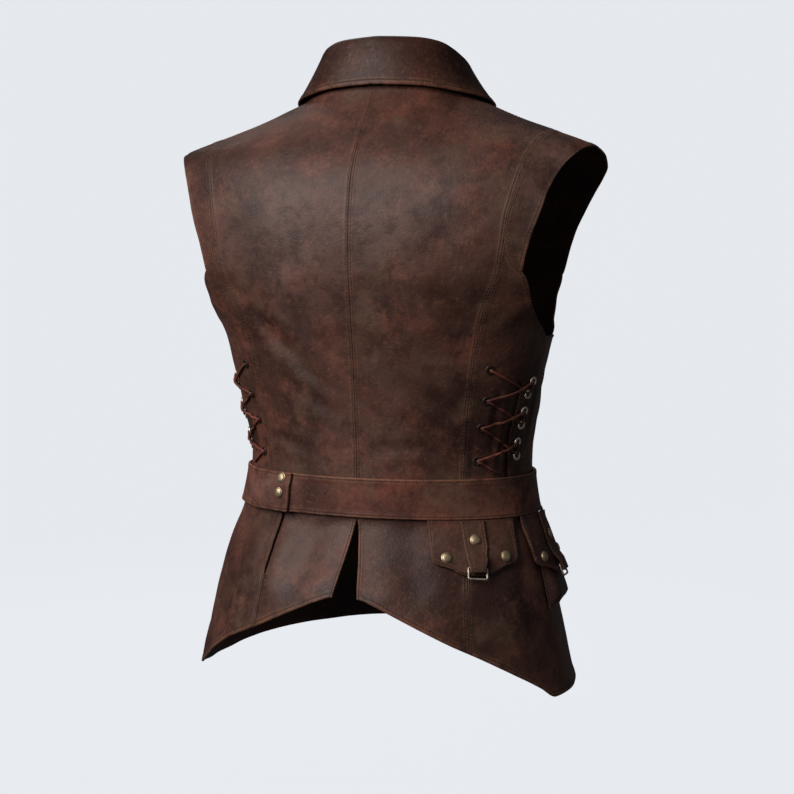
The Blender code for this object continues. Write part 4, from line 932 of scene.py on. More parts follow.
def line_in_grid(points, outs, distances, side, offset, clear):
    """Runs of points at one distance from an edge of a grid, kept clear of its other edges."""
    values = np.concatenate([points, outs, clear[..., None]], axis=-1)
    away = distances[side]
    if side in ("low", "high"):
        values, away = values.transpose(1, 0, 2), away.T
    if side in ("high", "right"):
        values, away = values[:, ::-1], away[:, ::-1]
    found = []
    for row, gap in zip(values, away):
        has_room = gap[-1] > offset * ROW_ROOM
        found.append([np.interp(offset, gap, v) for v in row.T] if has_room else [0.0] * 7)
    found = np.array(found)
    good = found[:, 6] > offset * ROW_CLEAR
    runs, start = [], None
    for k, fine in enumerate([*good, False]):
        if fine and start is None:
            start = k
        if not fine and start is not None:
            if k - start > 2:
                runs.append(found[start:k])
            start = None
    return runs


def leather_wall(name, node, places, lift, *rest, **more):
    """A finished leather wall over fine places."""
    turn, z = places[..., 0], places[..., 1]
    rise = lift(turn, z) if callable(lift) else lift
    dye = {kind: patches(kind, turn, z) for kind in PATCHES}
    shaped_wall(name, node, skin(turn, z, rise), outward(turn, z), *rest, dye=dye, **more)


def shaped_wall(
    name, node, base, outs, thickness, look, thread, sewn, free, is_open=None, slit=None, dye=None
):
    """A sheet whose outer face lies on a grid of points, with turned and worn edges and painted
    shade in its grooves, at its seams and on its inner face.

    sewn gives each stitched side the distance of its stitches; free gives a side's wear, and what
    the side lacks of full rubbing is painted shade at it; dye gives each kind of patch its strength
    over the grid, and the pale and dark patches hold painted sheen and painted shade.
    """
    sizes = bpy.context.scene.vest_sewing
    distances = edge_distances(base)
    drops = [
        rounded(distance, thickness) * (1.0 if side in free else SEAM_ROUND_SHARE)
        for side, distance in distances.items()
    ]
    if slit is not None:
        drops.append(rounded(slit(distances["left"]), thickness))
    drop = np.max(drops, axis=0)
    relief, shade, wear_and_highlight = np.zeros(drop.shape), np.zeros(drop.shape), np.zeros(drop.shape)
    for side, distance in distances.items():
        strength = np.asarray(free.get(side, SEAM_WEAR), float)
        if strength.ndim == 1:
            strength = strength[:, None] if side in ("left", "right") else strength[None, :]
        if side in sewn:
            groove = sewn[side]
            line = bell(distance, groove, GROOVE_WIDTH)
            fall = ramp(distance, *(groove + past for past in TURNED_EDGE_FALL))
            raised = sizes.turned_edge * (1.0 - fall)
            relief = np.maximum(relief, raised) - sizes.groove_depth * line
            # Painted shade in the stitched groove.
            shade = np.maximum(shade, GROOVE_SHADE * line)
            # Lighter lines on the ridges beside the groove: rubbed leather and a painted highlight.
            before = bell(distance, 0.6 * groove, 0.22 * groove)
            after = bell(distance, groove + RUB_AND_HIGHLIGHT_PAST_GROOVE, RUB_AND_HIGHLIGHT_WIDTH)
            wear_and_highlight = np.maximum(wear_and_highlight, (0.35 + 0.5 * strength) * np.maximum(before, 0.7 * after))
        wear_and_highlight = np.maximum(wear_and_highlight, strength * bell(distance, 0.0, EDGE_WEAR_WIDTH))
        # Painted shade at an edge, as strong as the edge lacks of full rubbing: a dark seam line.
        shade = np.maximum(shade, (1.0 - strength) * bell(distance, 0.0, SEAM_SHADE_WIDTH))
    outer = base + outs * (relief - drop)[..., None]
    inner = base - outs * (thickness - drop)[..., None]
    vertices = np.concatenate([outer.reshape(-1, 3), inner.reshape(-1, 3)])
    faces = wall_faces(*drop.shape, is_open)
    # The inner face gets half the rubbing and an even painted shade.
    values = {
        "wear_and_highlight": np.concatenate([wear_and_highlight.ravel(), wear_and_highlight.ravel() * 0.5]),
        "shade": np.concatenate([shade.ravel(), np.full(shade.size, 0.4)]),
        **{kind: np.tile(strength.ravel(), 2) for kind, strength in (dye or {}).items()},
    }
    item = add_mesh(name, vertices, faces, look, values)
    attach(item, "root")
    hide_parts(node)
    for side, groove in sewn.items():
        clear = np.min([distances[other] for other in distances if other != side], axis=0)
        if slit is not None:
            clear = np.minimum(clear, slit(distances["left"]))
        for run in line_in_grid(outer, outs, distances, side, groove, clear):
            thread.line(run[:, :3], run[:, 3:6], sizes.stitch_pitch, sizes.stitch_length)


def mirrored(places, side):
    return places * np.array([side, 1.0])


def back_panel(side):
    centre, seam = centre_edge(), back_seam_edge()
    if side > 0:
        seam = lap_back(seam, LAP_UNDER_TURN)
    left = off_ridge(inset(centre, seam), -1)
    right = off_ridge(inset(seam, centre), -1)
    return mirrored(to_hem(ruled(left, right)), side)


def side_panel(side):
    """Places of a side panel, its columns beside the slit, and the slit's rows."""
    apex = SKIRT_ROWS + BODY_ROWS + UNDERARM_ROWS
    seam = back_seam_edge()[: apex + 1]
    under = curve(ARMHOLE_UNDER_BACK[::-1], UNDERARM_ROWS - BAND_LOWER_ROWS + 1)
    lower = curve(BAND_BACK_LOWER, BAND_LOWER_ROWS + 1)
    front = np.concatenate([side_seam_edge()[:-1], under[:-1], lower])
    if side > 0:
        seam = lap_back(seam, LAP_TURN)
    left, right = inset(seam, front), inset(front, seam)
    left[-1, 1] -= GAP
    right[-1, 1] -= GAP
    left, right = fine_rows(left, right)
    span = right[:, 0] - left[:, 0]
    along = (column(SLIT, 1, left[:, 1]) - left[:, 0]) / span
    above = ramp(left[:, 1], *(SLIT[-1, 0] + away for away in SLIT_BLEND))
    share = blend(along, SLIT_SHARE_ABOVE, above)
    middle = blend(left, right, share[:, None])
    half = SLIT_HALF_WIDTH / (np.linalg.norm(steps(*middle.T)[0], axis=-1) * span)
    half = np.minimum(half, share / 4)
    first, second = (blend(left, right, at[:, None]) for at in (share - half, share + half))
    parts = [across_from(*edges, NARROW_RINGS) for edges in ((left, first), (second, right))]
    gap_column = parts[0].shape[1] - 1
    places = np.concatenate(parts, axis=1)
    in_slit = (left[:, 1] >= SLIT[0, 0]) & (left[:, 1] <= SLIT[-1, 0])
    return mirrored(to_hem(places), side), gap_column, in_slit


def front_panel(side):
    under = curve(ARMHOLE_UNDER_FRONT, FRONT_UNDERARM_ROWS + 1)
    band_seam = curve(BAND_FRONT_INNER, BAND_FRONT_ROWS + 1)[::-1]
    outer = np.concatenate([side_seam_edge()[:-1], under[:-1], band_seam])
    inner = front_edge()
    left, right = off_ridge(inset(outer, inner), 1), off_ridge(inset(inner, outer, 0.0), 1)
    return mirrored(to_hem(ruled(left, right)), side)


def band_panel(side):
    apex = SKIRT_ROWS + BODY_ROWS + UNDERARM_ROWS
    lower = curve(BAND_BACK_LOWER, BAND_LOWER_ROWS + 1)
    front = curve(BAND_FRONT_INNER, BAND_FRONT_ROWS + 1)
    inner = np.concatenate([lower, back_seam_edge()[apex:-1], front])
    back_count = len(inner) - len(front) + 1
    outer = np.concatenate([curve(ARMHOLE_BACK, back_count), curve(ARMHOLE_FRONT, len(front))[1:]])
    return mirrored(ruled(inset(inner, outer), outer), side)


def spot(turn, z, lift=0.0, extra=0.0):
    """Axes of a spot on a lifted surface, across, down and out, moved out by the extra."""
    def point(t, height):
        rise = lift(t, height) if callable(lift) else lift
        return Vector(skin(t, height, rise))

    small_turn, small_z = 0.8, 0.002
    across = point(turn + small_turn, z) - point(turn - small_turn, z)
    up = point(turn, z + small_z) - point(turn, z - small_z)
    normal = up.cross(across).normalized()
    across = normal.cross(up).normalized()
    matrix = Matrix((across, normal.cross(across), normal)).transposed().to_4x4()
    return Matrix.Translation(point(turn, z) + normal * extra) @ matrix


class Socket:
    """A shader value: an expression on it adds the Math nodes that work it out."""

    def __init__(self, shader, output):
        self.shader, self.output = shader, output

    def _math(self, operation, *values):
        return self.shader.node("ShaderNodeMath", {"operation": operation}, dict(enumerate(values)))

    def __add__(self, other):
        return self._math("ADD", self, other)

    def __sub__(self, other):
        return self._math("SUBTRACT", self, other)

    def __rsub__(self, other):
        return self._math("SUBTRACT", other, self)

    def __mul__(self, other):
        return self._math("MULTIPLY", self, other)

    __radd__, __rmul__ = __add__, __mul__


class Shader:
    """A material's nodes, and the one method that adds any node to them."""

    def __init__(self, name):
        self.material = bpy.data.materials.new(name)
        self.material.use_nodes = True
        self.tree = self.material.node_tree
        self.surface = self.tree.nodes["Principled BSDF"]

    def node(self, kind, settings=None, values=None, output=0):
        """Add a node, set what it is first, then its sockets' values or links."""
        node = self.tree.nodes.new(kind)
        for key, value in (settings or {}).items():
            setattr(node, key, value)
        for key, value in (values or {}).items():
            self.set(node.inputs[key], value)
        return Socket(self, node.outputs[output])

    def set(self, target, value):
        if isinstance(value, Socket):
            self.tree.links.new(value.output, target)
        else:
            target.default_value = value

    def finish(self, **values):
        for key, value in values.items():
            self.set(self.surface.inputs[key.replace("_", " ")], value)
        return self.material

    def noise(self, at, scale, detail=4.0, rough=0.55, seed=0.0):
        return self.node(
            "ShaderNodeTexNoise",
            {"noise_dimensions": "4D"},
            {"Vector": at, "W": seed, "Scale": scale, "Detail": detail, "Roughness": rough},
        )

    def between(self, value, low, high):
        """A value spread from 0 at low to 1 at high, with soft ends."""
        values = {"Value": value, "From Min": low, "From Max": high}
        return self.node("ShaderNodeMapRange", {"interpolation_type": "SMOOTHSTEP"}, values)

    def mix(self, factor, a, b):
        """One colour over another."""
        a, b = ((*c, 1.0) if isinstance(c, tuple) else c for c in (a, b))
        return self.node("ShaderNodeMix", {"data_type": "RGBA"}, {0: factor, 6: a, 7: b}, output=2)

    def bump(self, height, distance):
        values = {"Height": height, "Distance": distance, "Strength": 1.0}
        return self.node("ShaderNodeBump", None, values)


def leather_look(name, look, tone):
    """Dyed leather: red, brown and dark clouds of dye, fine grain, painted shade in grooves, rubbed
    edges.
    """
    shader = Shader(name)
    at = shader.node("ShaderNodeTexCoord", output="Object")
    clouds = shader.noise(at, 15.0, 5.0, 0.55)
    reds = shader.noise(at, 26.0, 6.0, 0.60, 3.7)
    browns = shader.noise(at, 22.0, 6.0, 0.60, 8.1)
    blotches = shader.noise(at, 80.0, 5.0, 0.65, 1.3)
    cells = {"Vector": at, "Scale": 1.0 / look.grain_size}
    grain = shader.node("ShaderNodeTexVoronoi", {"feature": "F1"}, cells)
    pores = shader.noise(at, 1400.0, 2.0)
    wear_and_highlight, shade, faded_and_painted_sheen, reddened, darkened = (
        shader.node("ShaderNodeAttribute", {"attribute_name": key}, output="Fac")
        for key in ("wear_and_highlight", "shade", *PATCHES)
    )
    scuffs = shader.between(shader.noise(at, 240.0, 3.0, 0.7, 5.2) + 0.35 * reds, 0.66, 0.90)
    dark, middle, red, brown, pale = (
        tuple(c * t for c, t in zip(colour, tone))
        for colour in (look.dark, look.middle, look.red, look.brown, look.faded_and_painted_sheen)
    )
    rubbed = tuple(look.rubbed)
    colour = shader.mix(shader.between(clouds, 0.38, 0.62), dark, middle)
    colour = shader.mix(0.85 * shader.between(reds, 0.50, 0.64), colour, red)
    colour = shader.mix(0.75 * shader.between(browns, 0.50, 0.66), colour, brown)
    cloudy = 0.55 + 0.45 * shader.between(blotches, 0.36, 0.60)
    colour = shader.mix(reddened * cloudy, colour, red)
    # Dark patches: dark dye and painted shade.
    colour = shader.mix(darkened * cloudy, colour, dark)
    # Pale patches: pale dye and painted sheen.
    colour = shader.mix(faded_and_painted_sheen * cloudy, colour, pale)
    colour = shader.mix(0.40 * shader.between(blotches, 0.54, 0.36), colour, dark)
    colour = shader.mix(0.20 * scuffs, colour, rubbed)
    # Rubbed edges, with the painted highlight on the seams' ridges.
    rub = wear_and_highlight * shader.between(blotches + 0.5 * clouds, 0.55, 0.92)
    colour = shader.mix(look.wear_and_highlight * rub, colour, rubbed)
    # Painted shade in grooves, at seams and on the inner face.
    colour = shader.mix(0.75 * shade, colour, tuple(c * 0.35 for c in dark))
    height = 0.7 * grain + 0.3 * pores + 1.6 * shader.between(blotches, 0.3, 0.7)
    rough = look.roughness + 0.30 * (browns - 0.5) + 0.16 * (blotches - 0.5)
    rough = rough + 0.12 * shade - 0.06 * wear_and_highlight
    return shader.finish(
        Base_Color=colour,
        Roughness=rough,
        Normal=shader.bump(height, look.grain_depth),
        Specular_IOR_Level=look.gloss,
    )


def metal_look(name, bright, tarnish, roughness):
    """Worn metal: bright where it is rubbed, dull and brown where dirt stays."""
    shader = Shader(name)
    at = shader.node("ShaderNodeTexCoord", output="Object")
    clouds = shader.noise(at, 260.0, 4.0, 0.6)
    fine = shader.noise(at, 2400.0, 3.0)
    dull = shader.between(clouds, 0.40, 0.68)
    return shader.finish(
        Base_Color=shader.mix(0.75 * dull, tuple(bright), tuple(tarnish)),
        Roughness=roughness + 0.25 * dull + 0.1 * fine,
        Metallic=1.0 - 0.35 * dull,
        Normal=shader.bump(fine + 1.5 * clouds, 0.00012),
    )


def thread_look(name, colour):
    """Waxed thread with its twist."""
    shader = Shader(name)
    at = shader.node("ShaderNodeTexCoord", output="Object")
    fine = shader.noise(at, 2600.0, 2.0)
    clouds = shader.noise(at, 120.0, 3.0)
    pale, dirty = tuple(colour), tuple(c * 0.45 for c in colour)
    return shader.finish(
        Base_Color=shader.mix(shader.between(clouds, 0.35, 0.7), dirty, pale),
        Roughness=0.55 + 0.2 * fine,
        Normal=shader.bump(fine, 0.0001),
    )


def colour_property(name, description, default):
    return FloatVectorProperty(
        name=name, description=description, default=default, size=3, min=0.0, max=1.0, subtype="COLOR"
    )


def length_property(name, description, default):
    return FloatProperty(
        name=name, description=description, default=default, min=0.0, subtype="DISTANCE", unit="LENGTH"
    )


def share_property(name, description, default, most=1.0):
    return FloatProperty(
        name=name, description=description, default=default, min=0.0, max=most, subtype="FACTOR"
    )


def power_property(name, description, default):
    return FloatProperty(name=name, description=description, default=default, unit="POWER")


class LeatherLook(PropertyGroup):
    """Colours and surface of the leather"""

    dark: colour_property("Dark dye", "Leather where the dye lies deep", (0.029, 0.0118, 0.0088))
    middle: colour_property("Dye", "Leather's main colour", (0.071, 0.030, 0.0215))
    red: colour_property("Red dye", "Leather where the dye is redder", (0.103, 0.037, 0.026))
    brown: colour_property("Thin dye", "Leather where the dye lies thin", (0.080, 0.046, 0.030))
    # Colour of the pale patches: pale dye and painted sheen.
    faded_and_painted_sheen: colour_property("Faded dye", "Leather where the dye has faded", (0.112, 0.066, 0.056))
    rubbed: colour_property("Rubbed edge", "Leather where the dye is rubbed off", (0.24, 0.105, 0.055))
    roughness: share_property("Roughness", "Roughness of the leather", 0.50)
    gloss: share_property("Gloss", "Strength of the leather's gloss", 0.20)
    # Scales the rubbed edges and the painted highlight on the seams' ridges.
    wear_and_highlight: share_property("Wear", "How far edges and ridges are rubbed", 0.55)
    grain_size: length_property("Grain size", "Width of one cell of the grain", 0.0013)
    grain_depth: length_property("Grain depth", "Depth of the grain", 0.00016)


class Sewing(PropertyGroup):
    """Stitches, and the turned edges that they hold"""

    stitch_pitch: length_property("Pitch", "Distance from one stitch to the next", 0.0036)
    stitch_length: length_property("Stitch", "Length of one stitch", 0.0027)
    thread_radius: length_property("Thread radius", "Half the thickness of the thread", 0.00030)
    groove_depth: length_property("Groove", "How deep a row of stitches sinks", 0.00035)
    turned_edge: length_property("Turned edge", "How far a turned edge stands out", 0.00040)
    thread: colour_property("Thread", "Colour of the thread", (0.105, 0.050, 0.034))


class Metals(PropertyGroup):
    """Colours of the metal pieces"""

    brass: colour_property("Brass", "Rubbed brass", (0.44, 0.34, 0.21))
    brass_dull: colour_property("Dull brass", "Brass where it has darkened", (0.15, 0.10, 0.06))
    pale: colour_property("Pale metal", "Rubbed pale metal", (0.60, 0.52, 0.42))
    pale_dull: colour_property(
        "Dull pale metal", "Pale metal where it has darkened", (0.30, 0.24, 0.18)
    )
    eyelet: colour_property("Eyelet metal", "Rubbed metal of the front eyelets", (0.86, 0.78, 0.64))
    # Also the colour of the dark discs of painted shade in the belt's and skirt's holes.
    dark: colour_property("Dark metal", "Blackened metal of the rear eyelets", (0.05, 0.035, 0.03))
    roughness: share_property("Roughness", "Roughness of rubbed metal", 0.38)


class Stage(PropertyGroup):
    """Floor, backdrop and light"""

    floor_drop: FloatProperty(
        name="Floor", description="Height of the floor", default=-1.0, unit="LENGTH"
    )
    paper: colour_property("Paper", "Colour of the floor and backdrop", (0.784, 0.807, 0.847))
    key_power: power_property("Main light", "Power of the main light", 66.0)
    fill_power: power_property("Second light", "Power of the second light", 2.0)
    sky: share_property("Sky", "Strength of the light from all round", 0.07, 10.0)


LOOKS = {}


def looks():
    """The materials, made once from the sizes and colours that the user may change."""
    if LOOKS:
        return LOOKS
    scene = bpy.context.scene
    leather, metal, sewing = scene.vest_leather, scene.vest_metals, scene.vest_sewing
    LOOKS.update(
        vest=leather_look("vest_leather_look", leather, (1.0, 1.0, 1.0)),
        # The collar's leather is the vest's made darker: painted shade on the collar.
        collar=leather_look("collar_shaded_leather_look", leather, (0.56, 0.46, 0.43)),
        belt=leather_look("belt_leather_look", leather, (1.38, 1.20, 1.18)),
        lace=leather_look("lace_leather_look", leather, (1.9, 1.45, 1.35)),
        brass=metal_look("aged_brass_look", metal.brass, metal.brass_dull, metal.roughness),
        eyelet=metal_look("eyelet_look", metal.eyelet, metal.brass_dull, metal.roughness),
        pale=metal_look("pale_metal_look", metal.pale, metal.pale_dull, metal.roughness),
        dark=metal_look("dark_eyelet_and_hole_shade_look", metal.dark, tuple(c * 0.5 for c in metal.dark), 0.45),
        thread=thread_look("thread_look", sewing.thread),
    )
    return LOOKS


def fit(item, node=None):
    """Join a piece to the body, and hide the solid that it stands for."""
    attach(item, "root")
    if node:
        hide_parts(node)


def sew(name, thread):
    """Make the stitches of a piece."""
    radius = bpy.context.scene.vest_sewing.thread_radius
    fit(thread.make(name, radius, looks()["thread"]))


def revolved(name, place, profile, look, node=None, segments=32):
    """A turned piece; profile rows are (radius, height), from the middle out and back."""
    vertices, faces, rounds = [], [], []
    for radius, height in profile:
        count = segments if radius > 0.0 else 1
        rounds.append(range(len(vertices), len(vertices) + count))
        for k in range(count):
            angle = 2 * math.pi * k / count
            point = Vector((radius * math.cos(angle), radius * math.sin(angle), height))
            vertices.append(tuple(place @ point))
    pairs = list(zip(rounds, rounds[1:]))
    if profile[0][0] > 0.0:
        pairs.append((rounds[-1], rounds[0]))
    for low, high in pairs:
        for k in range(segments):
            n = (k + 1) % segments
            corners = [low[k % len(low)], low[n % len(low)], high[n % len(high)], high[k % len(high)]]
            faces.append(tuple(dict.fromkeys(corners)))
    item = add_mesh(name, vertices, faces, look)
    item.data.set_sharp_from_angle(angle=math.radians(50))
    fit(item, node)


def swept(name, node, points, ups, half_wide, half_high, look, sides=12, closed=False):
    """A bar of oval section along a path."""
    points, ups = np.asarray(points, float), np.asarray(ups, float)
    if closed:
        tangents = unit(np.roll(points, -1, 0) - np.roll(points, 1, 0))
    else:
        tangents = unit(np.gradient(points, axis=0))
    across = unit(np.cross(tangents, ups))
    ups = unit(np.cross(across, tangents))
    angles = np.linspace(0.0, 2 * np.pi, sides, endpoint=False)
    half_wide, half_high = (
        np.broadcast_to(half, len(points))[:, None, None] for half in (half_wide, half_high)
    )
    ring = across[:, None] * np.cos(angles)[None, :, None] * half_wide
    ring = ring + ups[:, None] * np.sin(angles)[None, :, None] * half_high
    vertices = (points[:, None] + ring).reshape(-1, 3)
    faces = tube_faces(len(points), sides, closed, not closed)
    fit(add_mesh(name, vertices, faces, look), node)


def dome(radius, height):
    """Profile of a rivet's cap: a short rim, a neck, and a round top."""
    rows = [(0.0, 0.0), (radius * 0.96, 0.0), (radius, height * 0.12), (radius * 0.97, height * 0.24)]
    for k in range(0, 7):
        angle = math.radians(90.0 * k / 6)
        rows.append((radius * 0.88 * math.cos(angle), height * (0.30 + 0.70 * math.sin(angle))))
    rows[-1] = (0.0, height)
    return rows


def frame_path(place, half_size, corner, height, bend):
    """Points round a bent rectangle with round corners, and the directions out of it."""
    half_across, half_up = half_size
    points = []
    for sign_x, sign_y, start in ((1, 1, 0), (-1, 1, 90), (-1, -1, 180), (1, -1, 270)):
        for k in range(7):
            angle = math.radians(start + 15 * k)
            x = sign_x * (half_across - corner) + corner * math.cos(angle)
            y = sign_y * (half_up - corner) + corner * math.sin(angle)
            points.append((x, y))
    fine = []
    for (x0, y0), (x1, y1) in zip(points, points[1:] + points[:1]):
        count = max(int(math.hypot(x1 - x0, y1 - y0) / FRAME_STEP), 1)
        fine += [(blend(x0, x1, k / count), blend(y0, y1, k / count)) for k in range(count)]
    out = place.to_3x3() @ Vector((0.0, 0.0, 1.0))
    placed = [tuple(place @ Vector((x, y, height - x * x / (2.0 * bend)))) for x, y in fine]
    return placed, [tuple(out)] * len(placed)


def buckle(name, node, place, half_size, corner, bar, bend, look, sides):
    """A bent frame of round bar; returns the direction out of it."""
    half_bar = bar / 2
    inner = tuple(half - half_bar for half in half_size)
    points, outs = frame_path(place, inner, corner, half_bar, bend)
    swept(name, node, points, outs, half_bar, half_bar, look, sides, closed=True)
    return outs[0]


def rivet(name, node, turn, z, lift, gap):
    """A rivet's cap, its foot a gap off the leather."""
    place = spot(turn, z, lift, gap)
    revolved(name, place, dome(RIVET_RADIUS, RIVET_HEIGHT + gap), looks()["brass"], node)


class VEST_OT_body(Operator):
    """Make the back panels, side panels, fronts, armhole bands and gussets"""

    bl_idname = "vest.body"
    bl_label = "Body panels"

    def execute(self, context):
        leather = looks()["vest"]
        for side, label in WEARER_SIDES:
            thread = Thread()
            places = back_panel(side)
            low = np.where(places[:, 0, 1] < VENT_TOP, 1.0, SEAM_WEAR)
            leather_wall(
                f"back_panel_{label}", f"back_{label}", places, 0.0, LEATHER, leather, thread,
                {"left": SEAM_STITCH, "right": SEAM_STITCH, "low": EDGE_STITCH, "high": SEAM_STITCH},
                {"low": 1.0, "left": low},
            )
            places, gap_column, in_slit = side_panel(side)
            is_open = np.zeros((places.shape[0] - 1, places.shape[1] - 1), bool)
            is_open[:, gap_column] = in_slit[:-1] & in_slit[1:]

            def from_slit(across):
                edges = across[:, gap_column], across[:, gap_column + 1]
                away = np.min([np.abs(across - edge[:, None]) for edge in edges], axis=0)
                return np.where(in_slit[:, None], away, 1.0)

            # On the left, the lapped edge is half rubbed and half painted shadow.
            leather_wall(
                f"side_panel_{label}", f"side_{label}", places, skirt_lap if side > 0 else 0.0,
                LEATHER, leather, thread,
                {"left": SEAM_STITCH, "right": SEAM_STITCH, "low": EDGE_STITCH},
                {"low": 1.0, "left": 0.5 if side > 0 else SEAM_WEAR}, is_open=is_open, slit=from_slit,
            )
            places = front_panel(side)
            leather_wall(
                f"front_panel_{label}", f"front_{label}", places, front_lap if side > 0 else 0.0,
                LEATHER, leather, thread,
                {"left": SEAM_STITCH, "right": EDGE_STITCH, "low": EDGE_STITCH, "high": SEAM_STITCH},
                {"low": 1.0, "right": 1.0},
            )
            leather_wall(
                f"band_{label}", f"armhole_band_{label}", band_panel(side), 0.0, LEATHER,
                leather, thread, {"left": SEAM_STITCH, "right": EDGE_STITCH},
                {"right": 1.0, "low": 0.8, "high": 0.8},
            )
            up = np.linspace(*GUSSET_HEIGHTS, GUSSET_STATIONS)
            edges = [line_of(turn, up) for turn in GUSSET_TURNS]
            leather_wall(
                f"gusset_{label}", f"lacing_gusset_{label}", mirrored(ruled(*edges), side),
                -LEATHER - LAYER_GAP, GUSSET_LEATHER, leather, thread, {}, {},
            )
            if side > 0:
                self.tack(thread)
            sew(f"body_stitches_{label}", thread)
        # A dark disc: painted shade in the skirt's hole.
        place = spot(*SKIRT_HOLE, skirt_lap, GAP)
        revolved("skirt_hole_shade", place, HOLE, looks()["dark"], segments=HOLE_SEGMENTS)
        return {"FINISHED"}

    def tack(self, thread):
        """The row of close stitches that ends the left skirt's lap."""
        for step in np.linspace(-1.0, 1.0, LAP_TACK_COUNT):
            z = LAP_TACK_Z + step * LAP_TACK_HALF / 2
            ends = np.array([(LAP_TURN + turn, z) for turn in LAP_TACK_TURNS])
            thread.single(skin(*ends.T, skirt_lap(*ends.T)), outward(*ends.T))


class VEST_OT_collar(Operator):
    """Make the collar's stand and fall, and the lapels"""

    bl_idname = "vest.collar"
    bl_label = "Collar and lapels"

    def execute(self, context):
        leather, thread = looks()["vest"], Thread()
        shares = ring_shares(COLLAR_LENGTH)[0] * 2.0 - 1.0
        share, side = np.abs(shares), np.where(shares < 0.0, -1.0, 1.0)
        turn, z, rise, lean, edge_turn, edge_z, edge_lift = read(
            np.linspace(0.0, 1.0, len(COLLAR)), COLLAR, share
        ).T
        base = skin(side * turn, z)
        inward = unit(np.stack([-base[:, 0], NECK_AXIS_Y - base[:, 1], 0.0 * z], -1))
        up = np.array([0.0, 0.0, 1.0])
        foot = base + inward * (LEATHER / 2 + blend(*STAND_CLEARANCE, share))[:, None]
        fold = base + inward * lean[:, None] + up * rise[:, None]
        edge = skin(side * edge_turn, edge_z, edge_lift)
        down = unit(foot - fold)
        top = fold + down * STAND_TOP_DROP
        rows = ring_shares(STAND_WIDTH, NARROW_RINGS)[0]
        stand = blend(foot[None], top[None], rows[:, None, None])
        self.wall("collar_stand_leather", "collar_stand", stand, thread, {}, {})
        starts, full, ends, gone = FALL_HOLLOW_SHARES
        hollow = ramp(share, starts, full) - ramp(share, ends, gone)
        start = fold - inward * FOLD[1][0] + up * FOLD[1][1]
        away = unit(edge - start)
        bulge = unit(up - away * away[:, 2:]) * blend(FALL_BULGE, FALL_HOLLOW, hollow)[:, None]
        keys, lines = [*FALL_TURN_SHARES], [fold + down * drop for drop in FALL_DROPS]
        lines += [fold - inward * out + up * high for out, high in FOLD]
        turned = FALL_TURN_SHARES[-1]
        for k in range(1, FALL_STEPS + 1):
            keys.append(turned + (1.0 - turned) * k / FALL_STEPS)
            bulged = bulge * math.sin(math.pi * k / FALL_STEPS)
            lines.append(blend(start, edge, k / FALL_STEPS) + bulged)
        fall = read(keys, np.array(lines), ring_shares(FALL_WIDTH)[0])
        sides = ("high", "left", "right")
        self.wall(
            "collar_fall_leather", "collar_fall", fall, thread, dict.fromkeys(sides, EDGE_STITCH),
            dict.fromkeys(sides, 1.0),
        )
        for side, label in WEARER_SIDES:
            edges = (curve(line, LAPEL_STATIONS) for line in (LAPEL_FOLD, LAPEL_OUTER))
            places = mirrored(ruled(*edges), side)
            if side > 0:
                def lift(t, height):
                    return front_lap(t, height) + LEATHER + LAPEL_GAP_LEFT
            else:
                lift = LEATHER + LAPEL_GAP_RIGHT
            leather_wall(
                f"lapel_leather_{label}", f"lapel_{label}", places, lift, LEATHER, leather, thread,
                {"right": EDGE_STITCH}, {"left": 0.5, "right": 1.0, "low": 1.0, "high": 1.0},
            )
        sew("collar_stitches", thread)
        return {"FINISHED"}

    def wall(self, name, node, grid, thread, sewn, free):
        """A wall of the collar, about the middle of its thickness."""
        outs = unit(np.cross(np.gradient(grid, axis=1), np.gradient(grid, axis=0)))
        base = grid + outs * LEATHER / 2
        shaped_wall(name, node, base, outs, LEATHER, looks()["collar"], thread, sewn, free)


